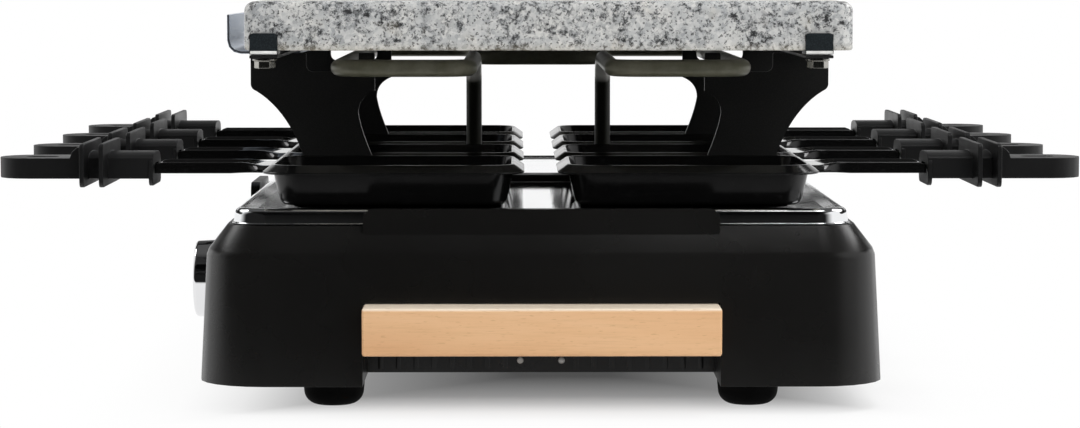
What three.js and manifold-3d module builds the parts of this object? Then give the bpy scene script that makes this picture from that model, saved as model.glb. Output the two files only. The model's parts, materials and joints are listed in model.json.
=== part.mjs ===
// A raclette grill for eight: a low housing with a steel drip deck, four pans on each long side,
// a bent tubular heater above them and a granite plate on four uprights.
// Millimetres. X runs across the grill (the pans pull out along it), Y along it, Z up.
// The origin is on the table under the middle of the grill.
import * as THREE from "three";
import { mergeVertices } from "three/addons/utils/BufferGeometryUtils.js";
import Module from "manifold-3d";

const wasm = await Module();
wasm.setup();

// Overall
const grill_height = 168; // from the table to the top of the stone

// Fits
const seat_gap = 0.3; // between a piece and what it rests on
const hole_gap = 0.3; // around a shank, leg or tube in its hole
const overrun = 5; // how far a cutting body runs past the face it cuts

// Pans
const pan_rows = 4; // on each long side
const pan_length = 109.5;
const pan_width = 80;
const pan_height = 16.9;
const pan_corner = 12;
const pan_sheet = 1.2;
const pan_brim_reach = 4.4; // how far the sloping brim stands out from the wall
const pan_brim_drop = 3.1; // of the brim's edge below its crest
const pan_taper = 2.7;
const pan_floor_round = 3;
const pan_row_gap = 10; // between the brims of two rows
const pan_column_gap = 13.5; // between the brims of the left and right pans

// Pan arms: a pressed sheet channel that rises out of the brim and ends in a tongue
const arm_width = 26;
const arm_drop = 1.1; // of its flat top below the crest of the brim
const arm_skirt_height = 3.6;
const arm_skirt_wall = 1.6;
const arm_sheet = 1.2;
const arm_reach = 59.15; // from the brim to the far end of the tongue
const arm_tongue_width = 12;
const arm_tongue_length = 13;
const arm_bead_width = 17;
const arm_bead_height = 1;
const arm_bead_slope = 1.5; // width of each sloping side
const arm_flare_width = 44; // at the brim
const arm_flare_length = 14;

// Pan handles
const handle_length = 66.25; // from its inner face to the round end
const handle_width = 28;
const handle_depth = 8.6; // of the grip, underside to the edge of its top
const handle_drop = 6.9; // of the underside below the crest of the brim
const handle_crown = 2.5; // how far the barrel's top arches above its edges
const barrel_length = 19;
const fin_thickness = 1.9;
const fin_spacing = 8.1; // between the like faces of the two fins
const fin_width = 57;
const fin_top = 8.4; // above the crest of the brim
const fin_bottom = 9.7; // below the crest of the brim
const fin_corner = 2.5;
const guard_thickness = 1.8; // the guard plate at the inner end
const guard_width = 30;
const guard_corner = 3;
const guard_bottom = 9.9; // below the crest of the brim
const gusset_length = 5.9; // thumb stop behind the outer fin
const gusset_height = 5.2; // above the top of the paddle
const gusset_root = 1.6; // how far it reaches down into the paddle
const hang_slot_length = 14;
const hang_slot_width = 6;
const hang_slot_inset = 18; // of its middle from the round end

// Deck tray
const deck_margin_x = 11.85; // from the pans' brims to its outer edge
const deck_margin_y = 2.3; // from the end of the last row's share to its outer edge
const deck_rise = 6.5; // of the rolled edge above the housing
const deck_edge_inset = 2; // of the top of the rolled edge from its foot
const deck_edge_width = 4;
const deck_edge_step = 0.6; // from the top of the edge down to the field
const deck_edge_slope = 2; // width of that step
const deck_sheet = 0.8;
const deck_corner = 15;
const bead_width = 5;
const bead_length = 84;
const bead_spacing = 36; // between the two beads under a pan
const bead_height = 0.6;

// Housing
const housing_wall = 2.6;
const housing_lap = 1.6; // from the deck's edge to the housing's top edge
const housing_ledge = 9; // width of the ledge under the deck
const shoulder_inset = 8.9;
const shoulder_height = 11.4;
const shoulder_round = 1.4;
const wall_draft = 2.8; // that the wall leans in over its height
const wall_height = 53.4;
const foot_height = 11.1;
const lip_half_width = 73; // raised lip over each grip
const lip_corner = 4;
const lip_proud = 2.6; // of its face outside the housing's top edge
const lip_root = 3.9; // how far it reaches down into the shoulder
const control_lip_half_width = 27; // the like lip above the knob
const recess_half_width = 72.9; // finger recess under each grip
const recess_height = 34;
const recess_depth = 46.5; // from the foot of the wall

// Wooden grips
const grip_side_gap = 0.5;
const grip_height = 19.4;
const grip_depth = 26.5;
const grip_proud = 15.9; // of its front outside the foot of the wall
const grip_round = 1.6;

// Base plate and feet
const base_thickness = 2;
const base_slot_count = 6;
const base_slot_width = 5;
const base_slot_length = 60;
const base_slot_pitch = 14;
const base_slot_start = 46; // of the first slot from the middle, along Y
const pedestal_width = 40;
const pedestal_depth = 16;
const foot_top_radius = 13;
const foot_sole_radius = 11.2;
const foot_sole_round = 1.6;
const foot_stem_radius = 3.5;
const foot_stem_rise = 5; // above the base plate
const foot_inset_x = 13.6; // of its middle from the recess
const foot_inset_y = 34.1; // of its middle from the foot of the short wall

// Heater
const heater_radius = 3.6;
const heater_inner_x = 30;
const heater_outer_x = 84.5;
const heater_end_inset = 28; // of its end runs from the stone's end
const heater_cross_y = 13; // of the run that joins the two loops
const heater_bend = 12;
const heater_drop = 4.4; // of its middle below the tops of the uprights
const heater_plate_overhang = 12; // past each leg
const heater_plate_width = 17;
const heater_plate_thickness = 3;
const heater_plate_corner = 3;

// Terminal block under the heater's legs
const terminal_rise = 30; // of its underside above the base plate
const terminal_height = 16;
const terminal_depth = 22;
const terminal_overhang = 9; // past each leg
const terminal_socket = 8;

// Uprights and their screws
const upright_sheet = 2;
const upright_drawn_height = 61.9; // the height at which the collar, neck, hook and ankle are as written
const upright_top_margin = 13.8; // outside the rail's middle line
const upright_collar = 15.4; // height of the straight edge at its outer top
const upright_foot_out = 15.5; // of the foot's outer edge from the heater's outer run
const upright_foot_in = 14.5; // of the foot's inner edge from that run
const upright_top_in = 12.3; // of the top's inner edge from that run
const upright_neck_in = 5; // of the neck's inner edge from that run
const upright_neck_height = 35.5; // of the neck above the deck's field
const upright_hook_height = 45.3; // of the corner above the neck
const upright_ankle_height = 17; // where the neck's curve meets the straight foot
const upright_ankle_in = 10.9;
const upright_outer_bow_shares = [[0.49, 0.86], [0.094, 0.476]]; // of foot to top, and of foot to collar
const notch_in = 5.3; // of the notch's inner side from the heater's outer run
const notch_out = 17.7;
const notch_corner = 3;
const flange_width = 7.5;
const flange_sheet = 1.5;
const screw_shank_radius = 1.8;
const screw_head_radius = 3.2;
const screw_head_height = 2;
const screw_length = 7;

// Stone plate
const stone_width = 248;
const stone_length = 378;
const stone_thickness = 20;
const stone_shift = 3; // it lies this far to the right of the middle
const stone_top_round = 4;
const stone_bottom_round = 1.2;
const stone_corner = 6;

// Rails, clips and bolts under the stone's long edges
const rail_inset = 11.3; // of its middle line from half the stone's width
const rail_width = 11.4;
const rail_sheet = 1.2;
const rail_tab_width = 6;
const clip_sheet = 1.6;
const clip_foot_length = 15;
const clip_height = 8.7;
const clip_foot_sheet = 1.3;
const bolt_shank_radius = 2;
const bolt_head_radius = 4.4;
const bolt_head_height = 3;
const bolt_washer_radius = 5;
const bolt_washer_height = 0.9;

// Drip guard left of the stone
const guard_sheet = 1.2;
const guard_strip_half_length = 60;
const guard_strip_reach = 26.9; // of its outer face from the rail's middle line
const guard_strip_height = 17.5;
const guard_strip_round = 6;

// Control side, on the left long wall
const knob_radius = 18.6;
const knob_length = 18.1;
const knob_face_inset = 0.8; // that its side leans in towards the face
const knob_edge_round = 1.5;
const knob_wall_gap = 0.9;
const knob_height = 25.2; // of its middle above the foot of the wall
const knob_groove_width = 2;
const knob_groove_depth = 0.8;
const shaft_radius = 3;
const shaft_reach = 12; // into the knob
const thermostat_width = 30;
const thermostat_height = 26;
const thermostat_depth = 18;
const thermostat_collar_radius = 5;
const thermostat_plate_margin = 6;
const thermostat_plate_thickness = 1.5;
const lens_radius = 3.5;
const lens_flange_radius = 5;
const lens_flange_thickness = 1.2;
const lens_length = 9;
const lens_offset = 34; // of its middle from the knob's, along Y
const inlet_flange_radius = 8;
const inlet_neck_radius = 5.5;
const inlet_bore_radius = 3.6;
const inlet_flange_thickness = 2.5;
const inlet_offset = 120; // of its middle from the knob's, along Y
const inlet_height = 14; // of its middle above the foot of the wall

// How finely round things are drawn
const fine_sides = 28;
const round_sides = 16;
const hole_sides = 10;
const tube_sides = 9;
const corner_steps = 3;
const wide_corner_steps = 6;
const bend_steps = 4;
const weld = 0.0001;

// Heights and outlines that follow from the sizes above
const pan_pitch = pan_width + pan_row_gap;
const rim_outer_x = pan_column_gap / 2 + pan_length;
const deck_half_x = rim_outer_x + deck_margin_x;
const deck_half_y = (pan_rows / 2) * pan_pitch + deck_margin_y;
const housing_top_half_x = deck_half_x + housing_lap;
const housing_top_half_y = deck_half_y + housing_lap;
const housing_half_x = housing_top_half_x + shoulder_inset + wall_draft;
const housing_half_y = housing_top_half_y + shoulder_inset + wall_draft;
const housing_top_corner = deck_corner + housing_lap;
const housing_corner = housing_top_corner + shoulder_inset + wall_draft;
const housing_z = foot_height + seat_gap;
const shoulder_z = housing_z + wall_height;
const ledge_z = shoulder_z + shoulder_height;
const deck_foot_z = ledge_z + seat_gap;
const deck_edge_z = deck_foot_z + deck_rise;
const field_z = deck_edge_z - deck_edge_step;
const pan_z = field_z + bead_height + seat_gap;
const rim_z = pan_z + pan_height;
const stone_z = grill_height - stone_thickness;
const clip_z = stone_z - seat_gap - clip_foot_sheet;
const rail_z = clip_z - seat_gap - rail_sheet;
const upright_top_z = rail_z - seat_gap;
const heater_z = upright_top_z - heater_drop;
const rail_x = stone_width / 2 - rail_inset;
const clip_outer_y = stone_length / 2 + seat_gap + clip_sheet;
const bolt_y = clip_outer_y - clip_foot_length / 2;
const heater_end_y = stone_length / 2 - heater_end_inset;
const flange_top_z = field_z + seat_gap + flange_sheet;
const upright_foot_middle_x = heater_outer_x + (upright_foot_out - upright_foot_in) / 2;
const screw_y = upright_sheet / 2 + flange_width / 2;
const recess_z = housing_z + recess_height;
const recess_back_y = housing_half_y - recess_depth;
const base_top_z = housing_z + base_thickness;
const terminal_z = base_top_z + terminal_rise;
const terminal_top_z = terminal_z + terminal_height;
const foot_x = recess_half_width + foot_inset_x;
const foot_y = housing_half_y - foot_inset_y;
const knob_z = housing_z + knob_height;

// Plain geometry helpers

function closed(geometry) {
  const bare = new THREE.BufferGeometry();
  bare.setAttribute("position", geometry.getAttribute("position"));
  if (geometry.index) {
    bare.setIndex(geometry.index);
  }
  const merged = mergeVertices(bare, weld);
  const corners = merged.index.array;
  const kept = [];
  for (let i = 0; i < corners.length; i += 3) {
    const [a, b, c] = corners.slice(i, i + 3);
    if (a !== b && b !== c && c !== a) {
      kept.push(a, b, c);
    }
  }
  merged.setIndex(kept);
  return merged;
}

function solid(geometry) {
  const merged = closed(geometry);
  return new wasm.Manifold(
    new wasm.Mesh({
      numProp: 3,
      vertProperties: new Float32Array(merged.getAttribute("position").array),
      triVerts: new Uint32Array(merged.index.array),
    }),
  );
}

function geometryOf(body) {
  const mesh = body.getMesh();
  const geometry = new THREE.BufferGeometry();
  geometry.setAttribute("position", new THREE.BufferAttribute(mesh.vertProperties, 3));
  geometry.setIndex(new THREE.BufferAttribute(mesh.triVerts, 1));
  return geometry;
}

function joined(bodies) {
  return bodies.reduce((sum, body) => sum.add(body));
}

function cut(body, tools) {
  return tools.reduce((rest, tool) => rest.subtract(tool), body);
}

// An outline drawn in two axes is pushed along the third. X takes outlines in (Y, Z), Y those in (X, Z).
const turns = {
  x: new THREE.Matrix4().makeBasis(
    new THREE.Vector3(0, 1, 0), new THREE.Vector3(0, 0, 1), new THREE.Vector3(1, 0, 0)),
  y: new THREE.Matrix4().makeBasis(
    new THREE.Vector3(1, 0, 0), new THREE.Vector3(0, 0, 1), new THREE.Vector3(0, -1, 0)),
  z: new THREE.Matrix4(),
};

function pushed(shape, axis, from, to) {
  const geometry = new THREE.ExtrudeGeometry(shape, {
    depth: to - from,
    bevelEnabled: false,
    curveSegments: corner_steps,
  });
  geometry.translate(0, 0, axis === "y" ? -to : from);
  geometry.applyMatrix4(turns[axis]);
  return solid(geometry);
}

function outline(points) {
  return new THREE.Shape(points.map(([u, v]) => new THREE.Vector2(u, v)));
}

function rectangle(u0, v0, u1, v1) {
  return outline([[u0, v0], [u1, v0], [u1, v1], [u0, v1]]);
}

function roundedPoints(u0, v0, u1, v1, radius, steps = corner_steps) {
  const points = [];
  const centres = [[u1 - radius, v1 - radius], [u0 + radius, v1 - radius],
    [u0 + radius, v0 + radius], [u1 - radius, v0 + radius]];
  centres.forEach(([u, v], corner) => {
    for (let step = 0; step <= steps; step += 1) {
      const angle = (corner + step / steps) * (Math.PI / 2);
      points.push([u + radius * Math.cos(angle), v + radius * Math.sin(angle)]);
    }
  });
  return points;
}

function rounded(u0, v0, u1, v1, radius, steps = corner_steps) {
  return outline(roundedPoints(u0, v0, u1, v1, radius, steps));
}

function disc(radius, sides, u = 0, v = 0) {
  const points = [];
  for (let side = 0; side < sides; side += 1) {
    const angle = (side / sides) * 2 * Math.PI;
    points.push([u + radius * Math.cos(angle), v + radius * Math.sin(angle)]);
  }
  return outline(points);
}

function rod(radius, axis, from, to, u = 0, v = 0, sides = hole_sides) {
  return pushed(disc(radius, sides, u, v), axis, from, to);
}

// A body through level rounded rectangles, each given as half sizes, corner radius and height.
// It is capped at both ends, so a profile that turns back down inside itself makes a cup.
function lofted(levels, steps = corner_steps) {
  const positions = [];
  const faces = [];
  const around = 4 * (steps + 1);
  levels.forEach(([half_x, half_y, radius, z]) => {
    const ring = roundedPoints(-half_x, -half_y, half_x, half_y, radius, steps);
    ring.forEach(([x, y]) => positions.push(x, y, z));
  });
  for (let level = 0; level + 1 < levels.length; level += 1) {
    for (let i = 0; i < around; i += 1) {
      const a = level * around + i;
      const b = level * around + ((i + 1) % around);
      faces.push(a, b, b + around, a, b + around, a + around);
    }
  }
  const last = (levels.length - 1) * around;
  for (let i = 1; i + 1 < around; i += 1) {
    faces.push(0, i + 1, i);
    faces.push(last, last + i, last + i + 1);
  }
  const geometry = new THREE.BufferGeometry();
  geometry.setAttribute("position", new THREE.Float32BufferAttribute(positions, 3));
  geometry.setIndex(faces);
  return solid(geometry);
}

// A turned body from (radius, height) pairs that start and end on the axis, upright or lying along X.
function turned(profile, sides, axis = "z") {
  const geometry = new THREE.LatheGeometry(profile.map(([r, h]) => new THREE.Vector2(r, h)), sides);
  geometry.rotateX(Math.PI / 2);
  if (axis === "x") {
    geometry.rotateY(Math.PI / 2);
  }
  return solid(geometry);
}

// Quarter round from one profile point to another, bulging away from the given centre side.
function quarter(from, to, centre) {
  const points = [];
  for (let step = 0; step <= corner_steps; step += 1) {
    const angle = (step / corner_steps) * (Math.PI / 2);
    points.push([
      centre[0] + (from[0] - centre[0]) * Math.cos(angle) + (to[0] - centre[0]) * Math.sin(angle),
      centre[1] + (from[1] - centre[1]) * Math.cos(angle) + (to[1] - centre[1]) * Math.sin(angle),
    ]);
  }
  return points;
}

// The tube's stations: straight runs between corners that are bent at one radius.
class BentPath extends THREE.Curve {
  constructor(corners, radius) {
    super();
    this.stations = [corners[0]];
    for (let i = 1; i + 1 < corners.length; i += 1) {
      const inward = corners[i].clone().sub(corners[i - 1]).normalize();
      const outward = corners[i + 1].clone().sub(corners[i]).normalize();
      const turn = inward.angleTo(outward);
      const start = corners[i].clone().addScaledVector(inward, -radius * Math.tan(turn / 2));
      const towards = outward.clone().sub(inward).normalize();
      const centre = corners[i].clone().addScaledVector(towards, radius / Math.cos(turn / 2));
      const hinge = inward.clone().cross(outward).normalize();
      for (let step = 0; step <= bend_steps; step += 1) {
        const arm = start.clone().sub(centre).applyAxisAngle(hinge, (turn * step) / bend_steps);
        this.stations.push(arm.add(centre));
      }
    }
    this.stations.push(corners[corners.length - 1]);
  }

  getPoint(t, target = new THREE.Vector3()) {
    const spans = this.stations.length - 1;
    const span = Math.min(Math.floor(t * spans), spans - 1);
    return target.lerpVectors(this.stations[span], this.stations[span + 1], t * spans - span);
  }

  getPointAt(u, target) {
    return this.getPoint(u, target);
  }

  getTangentAt(u, target) {
    return this.getTangent(u, target);
  }

  getSpacedPoints(count) {
    return this.getPoints(count);
  }
}

function tubeAlong(corners, radius, bend) {
  const path = new BentPath(corners.map(([x, y, z]) => new THREE.Vector3(x, y, z)), bend);
  const geometry = new THREE.ExtrudeGeometry(disc(radius, tube_sides), {
    steps: path.stations.length - 1,
    extrudePath: path,
  });
  return solid(geometry);
}

// Materials
const finish = {
  black_plastic: { color: 0x141414, roughness: 0.55, metalness: 0 },
  handle_plastic: { color: 0x232325, roughness: 0.6, metalness: 0 },
  black_enamel: { color: 0x0b0b0b, roughness: 0.25, metalness: 0.1 },
  black_powder: { color: 0x111112, roughness: 0.5, metalness: 0.2 },
  polished_steel: { color: 0xc9ccd0, roughness: 0.12, metalness: 1 },
  heater_steel: { color: 0x46483a, roughness: 0.4, metalness: 0.8 },
  beech: { color: 0xe4ba8c, roughness: 0.6, metalness: 0 },
  granite: { color: 0xd2d2cf, roughness: 0.35, metalness: 0 },
  rubber: { color: 0x0c0c0c, roughness: 0.9, metalness: 0 },
  ceramic: { color: 0xd9d4c6, roughness: 0.7, metalness: 0 },
  amber: { color: 0xc8401a, roughness: 0.15, metalness: 0 },
};

const grill = new THREE.Group();

function place(name, body, look, parent = grill) {
  const mesh = new THREE.Mesh(geometryOf(body), new THREE.MeshStandardMaterial(finish[look]));
  mesh.name = name;
  parent.add(mesh);
  return mesh;
}

// A copy with X or Y turned over keeps its faces pointing out.
function flipped(geometry, side_x, side_y) {
  const copy = geometry.clone();
  copy.applyMatrix4(new THREE.Matrix4().makeScale(side_x, side_y, 1));
  if (side_x * side_y < 0) {
    const corners = copy.index.array;
    for (let i = 0; i < corners.length; i += 3) {
      [corners[i], corners[i + 1]] = [corners[i + 1], corners[i]];
    }
  }
  return copy;
}

const sides = [["left", -1], ["right", 1]];
const ends = [["front", -1], ["rear", 1]];

// Places four alike pieces, one in each quarter of the grill, from the one at right rear.
function placeQuarters(name, body, look) {
  const geometry = geometryOf(body);
  for (const [end, side_y] of ends) {
    for (const [side, side_x] of sides) {
      const material = new THREE.MeshStandardMaterial(finish[look]);
      const mesh = new THREE.Mesh(flipped(geometry, side_x, side_y), material);
      mesh.name = `${name}_${end}_${side}`;
      grill.add(mesh);
    }
  }
}

// Housing

// Half sizes and corner radius of the housing's outside, less an inset, at a height up to its shoulder.
function wallSizes(inset, z) {
  const lean = (wall_draft * (z - housing_z)) / wall_height;
  return [housing_half_x, housing_half_y, housing_corner].map((size) => size - lean - inset);
}

function makeHousing() {
  const slope = shoulder_round / shoulder_height;
  const outside = lofted([
    [...wallSizes(0, housing_z), housing_z],
    [...wallSizes(0, shoulder_z), shoulder_z - shoulder_round],
    [...wallSizes(shoulder_inset * slope, shoulder_z), shoulder_z + shoulder_round],
    [housing_top_half_x, housing_top_half_y, housing_top_corner, ledge_z],
  ], wide_corner_steps);
  const inside = lofted([
    [...wallSizes(housing_wall, housing_z), housing_z - overrun],
    [...wallSizes(housing_wall, housing_z), housing_z],
    [...wallSizes(housing_wall, shoulder_z), shoulder_z - housing_wall],
    [...wallSizes(housing_wall + shoulder_inset, shoulder_z), ledge_z - housing_wall],
  ], wide_corner_steps);
  const mouth_sizes = [housing_top_half_x - housing_ledge, housing_top_half_y - housing_ledge,
    housing_top_corner - housing_wall];
  const mouth = lofted([[...mouth_sizes, shoulder_z], [...mouth_sizes, ledge_z + overrun]]);
  const block_half = recess_half_width + housing_wall;
  const blocks = [];
  const voids = [];
  const lips = [];
  for (const [, side_y] of ends) {
    const back = side_y * recess_back_y;
    const block_back = side_y * (recess_back_y - housing_wall);
    const beyond = side_y * (housing_half_y + overrun);
    const block = rectangle(-block_half, housing_z - overrun, block_half, recess_z + housing_wall);
    const hollow = rectangle(-recess_half_width, housing_z - overrun, recess_half_width, recess_z);
    blocks.push(pushed(block, "y", Math.min(block_back, beyond), Math.max(block_back, beyond)));
    voids.push(pushed(hollow, "y", Math.min(back, beyond), Math.max(back, beyond)));
    const lip_in = side_y * (deck_half_y + seat_gap);
    const lip_out = side_y * (housing_top_half_y + lip_proud);
    lips.push(pushed(lipOutline(lip_half_width), "y", Math.min(lip_in, lip_out), Math.max(lip_in, lip_out)));
  }
  const control_lip = pushed(
    lipOutline(control_lip_half_width), "x", -housing_top_half_x - lip_proud, -deck_half_x - seat_gap);
  const shell = outside.subtract(cut(inside, blocks)).subtract(mouth);
  const shut = joined([shell.subtract(joined(voids)), ...lips, control_lip]);
  const wall_from = -housing_half_x - overrun;
  const wall_to = -housing_half_x + housing_wall + wall_draft + overrun;
  return cut(shut, [
    rod(thermostat_collar_radius + hole_gap, "x", wall_from, wall_to, 0, knob_z, round_sides),
    rod(lens_radius + hole_gap, "x", wall_from, wall_to, lens_offset, knob_z),
    rod(inlet_neck_radius + hole_gap, "x", wall_from, wall_to, inlet_offset, housing_z + inlet_height,
      round_sides),
  ]);
}

function lipOutline(half_width) {
  const top = deck_edge_z + seat_gap;
  const root = ledge_z - lip_root;
  const points = [[-half_width, root], [half_width, root]];
  points.push(...quarter([half_width, top - lip_corner], [half_width - lip_corner, top],
    [half_width - lip_corner, top - lip_corner]));
  points.push(...quarter([lip_corner - half_width, top], [-half_width, top - lip_corner],
    [lip_corner - half_width, top - lip_corner]));
  return outline(points);
}

place("housing", makeHousing(), "black_plastic");

// Base plate

function makeBasePlate() {
  const [half_x, half_y, corner] = wallSizes(housing_wall + seat_gap, base_top_z);
  const plan = rounded(-half_x, -half_y, half_x, half_y, corner, wide_corner_steps);
  const plate = pushed(plan, "z", housing_z, base_top_z);
  const bay_half = recess_half_width + housing_wall + seat_gap;
  const bay_back = recess_back_y - housing_wall - seat_gap;
  const cuts = [];
  for (const [, side_y] of ends) {
    const near = side_y * bay_back;
    const far = side_y * (housing_half_y + overrun);
    const bay = rectangle(-bay_half, Math.min(near, far), bay_half, Math.max(near, far));
    cuts.push(pushed(bay, "z", housing_z - overrun, base_top_z + overrun));
    for (let slot = 0; slot < base_slot_count; slot += 1) {
      const y = side_y * (base_slot_start + slot * base_slot_pitch);
      const vent = rectangle(-base_slot_length / 2, y - base_slot_width / 2,
        base_slot_length / 2, y + base_slot_width / 2);
      cuts.push(pushed(vent, "z", housing_z - overrun, base_top_z + overrun));
    }
    for (const [, side_x] of sides) {
      cuts.push(rod(foot_stem_radius + hole_gap, "z", housing_z - overrun, base_top_z + overrun,
        side_x * foot_x, side_y * foot_y));
    }
  }
  const post = rectangle(-pedestal_width / 2, -pedestal_depth / 2, pedestal_width / 2, pedestal_depth / 2);
  return cut(plate, cuts).add(pushed(post, "z", housing_z, terminal_z - seat_gap));
}

place("base_plate", makeBasePlate(), "black_plastic");

// Feet

function makeFoot() {
  const sole = quarter([foot_sole_radius, 0], [foot_sole_radius + foot_sole_round, foot_sole_round],
    [foot_sole_radius, foot_sole_round]);
  const stem_top = base_top_z + foot_stem_rise;
  const profile = [[0, 0], ...sole, [foot_top_radius, foot_height], [foot_stem_radius, foot_height],
    [foot_stem_radius, stem_top], [0, stem_top]];
  const foot = turned(profile, round_sides);
  return foot.translate([foot_x, foot_y, 0]);
}

placeQuarters("foot", makeFoot(), "rubber");

// Wooden grips

for (const [end, side_y] of ends) {
  const front = side_y * (housing_half_y + grip_proud);
  const back = front - side_y * grip_depth;
  const top = recess_z - seat_gap;
  const half = recess_half_width - grip_side_gap;
  const section = rounded(Math.min(front, back), top - grip_height, Math.max(front, back), top, grip_round);
  place(`grip_${end}`, pushed(section, "x", -half, half), "beech");
}

// Deck tray

function deckLevel(inset, z) {
  return [deck_half_x - inset, deck_half_y - inset, deck_corner - inset / 2, z];
}

function makeDeck() {
  const under = field_z - deck_sheet;
  const crest = deck_edge_inset + deck_edge_width;
  const step = crest + deck_edge_slope;
  const plate = lofted([
    deckLevel(step, under),
    deckLevel(crest, deck_edge_z - deck_sheet),
    deckLevel(deck_edge_inset + deck_sheet, deck_edge_z - deck_sheet),
    deckLevel(deck_edge_inset / 2 + deck_sheet, deck_edge_z - deck_rise / 4),
    deckLevel(deck_sheet, deck_foot_z),
    deckLevel(0, deck_foot_z),
    deckLevel(deck_edge_inset / 4, deck_edge_z - deck_rise / 4),
    deckLevel(deck_edge_inset, deck_edge_z),
    deckLevel(crest, deck_edge_z),
    deckLevel(step, field_z),
  ], wide_corner_steps);
  const beads = [];
  for (let row = 0; row < pan_rows; row += 1) {
    for (const [, side_x] of sides) {
      for (const [, side_y] of ends) {
        const y = rowY(row) + (side_y * bead_spacing) / 2;
        const middle = (side_x * (pan_column_gap + pan_length)) / 2;
        const root = field_z - deck_sheet / 2;
        const bead = outline([[y - bead_width / 2, root], [y + bead_width / 2, root],
          [y + bead_width / 4, field_z + bead_height], [y - bead_width / 4, field_z + bead_height]]);
        beads.push(pushed(bead, "x", middle - bead_length / 2, middle + bead_length / 2));
      }
    }
  }
  const holes = [];
  for (const [, side_x] of sides) {
    holes.push(rod(heater_radius + hole_gap, "z", under - overrun, deck_edge_z + overrun,
      side_x * heater_inner_x, 0));
    for (const [, side_y] of ends) {
      holes.push(rod(screw_shank_radius + hole_gap, "z", under - overrun, deck_edge_z + overrun,
        side_x * upright_foot_middle_x, side_y * (pan_pitch - screw_y)));
    }
  }
  return cut(joined([plate, ...beads]), holes);
}

function rowY(row) {
  return (row - (pan_rows - 1) / 2) * pan_pitch;
}

place("deck_tray", makeDeck(), "polished_steel");

// Heater, its plate on the deck and the terminal block below

function makeHeaterPlate() {
  const half = heater_inner_x + heater_plate_overhang;
  const low = field_z + seat_gap;
  const shape = rounded(-half, -heater_plate_width / 2, half, heater_plate_width / 2, heater_plate_corner);
  const plate = pushed(shape, "z", low, low + heater_plate_thickness);
  const holes = sides.map(([, side_x]) => rod(heater_radius + hole_gap, "z", low - overrun,
    low + heater_plate_thickness + overrun, side_x * heater_inner_x, 0));
  return cut(plate, holes);
}

place("heater_base_plate", makeHeaterPlate(), "black_powder");

function makeHeater() {
  const leg_z = terminal_top_z - terminal_socket + seat_gap;
  const half = [
    [heater_inner_x, heater_cross_y, heater_z],
    [heater_inner_x, heater_end_y, heater_z],
    [heater_outer_x, heater_end_y, heater_z],
    [heater_outer_x, -heater_end_y, heater_z],
    [heater_inner_x, -heater_end_y, heater_z],
    [heater_inner_x, 0, heater_z],
    [heater_inner_x, 0, leg_z],
  ];
  const mirrored = half.map(([x, y, z]) => [-x, y, z]).reverse();
  return tubeAlong([...mirrored, ...half], heater_radius, heater_bend);
}

place("heater_element", makeHeater(), "heater_steel");

function makeTerminalBlock() {
  const half = heater_inner_x + terminal_overhang;
  const shape = rectangle(-half, -terminal_depth / 2, half, terminal_depth / 2);
  const block = pushed(shape, "z", terminal_z, terminal_top_z);
  const sockets = sides.map(([, side_x]) => rod(heater_radius + hole_gap, "z",
    terminal_top_z - terminal_socket, terminal_top_z + overrun, side_x * heater_inner_x, 0));
  return cut(block, sockets);
}

place("terminal_block", makeTerminalBlock(), "ceramic");

// Uprights and their screws

function makeUpright() {
  const low = field_z + seat_gap;
  const top_out = rail_x + upright_top_margin;
  const foot_out = heater_outer_x + upright_foot_out;
  const foot_in = heater_outer_x - upright_foot_in;
  const top_in = heater_outer_x - upright_top_in;
  const neck_in = heater_outer_x - upright_neck_in;
  const ankle_in = heater_outer_x - upright_ankle_in;
  const stretch = (upright_top_z - low) / upright_drawn_height;
  const collar_z = upright_top_z - stretch * upright_collar;
  const neck_z = low + stretch * upright_neck_height;
  const hook_z = low + stretch * upright_hook_height;
  const ankle_z = low + stretch * upright_ankle_height;
  const notch_z = heater_z - heater_radius - seat_gap;
  const notch_left = heater_outer_x - notch_in;
  const notch_right = heater_outer_x + notch_out;
  const bow = upright_outer_bow_shares.map(([u, v]) => [
    foot_out + u * (top_out - foot_out), low + v * (collar_z - low)]);
  const shape = new THREE.Shape();
  shape.moveTo(foot_in, low);
  shape.lineTo(foot_out, low);
  shape.bezierCurveTo(...bow[1], ...bow[0], top_out, collar_z);
  shape.lineTo(top_out, upright_top_z);
  shape.lineTo(notch_right, upright_top_z);
  shape.lineTo(notch_right, notch_z + notch_corner);
  shape.quadraticCurveTo(notch_right, notch_z, notch_right - notch_corner, notch_z);
  shape.lineTo(notch_left + notch_corner, notch_z);
  shape.quadraticCurveTo(notch_left, notch_z, notch_left, notch_z + notch_corner);
  shape.lineTo(notch_left, upright_top_z);
  shape.lineTo(top_in, upright_top_z);
  shape.lineTo(top_in, hook_z);
  shape.quadraticCurveTo(neck_in, (hook_z + neck_z) / 2 + upright_sheet, neck_in, neck_z);
  shape.quadraticCurveTo(neck_in, (neck_z + ankle_z) / 2, ankle_in, ankle_z);
  const half = upright_sheet / 2;
  const plate = pushed(shape, "y", pan_pitch - half, pan_pitch + half);
  const flange = pushed(rectangle(foot_in, pan_pitch - half - flange_width, foot_out, pan_pitch),
    "z", low, flange_top_z);
  const tab_top = rail_z + rail_sheet;
  const tab = pushed(rectangle(rail_x - rail_tab_width / 2, upright_top_z - upright_sheet,
    rail_x + rail_tab_width / 2, tab_top), "y", pan_pitch - half, pan_pitch + half);
  const hole = rod(screw_shank_radius + hole_gap, "z", low - overrun, flange_top_z + overrun,
    upright_foot_middle_x, pan_pitch - screw_y);
  return joined([plate, flange, tab]).subtract(hole);
}

placeQuarters("upright", makeUpright(), "black_powder");

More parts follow.
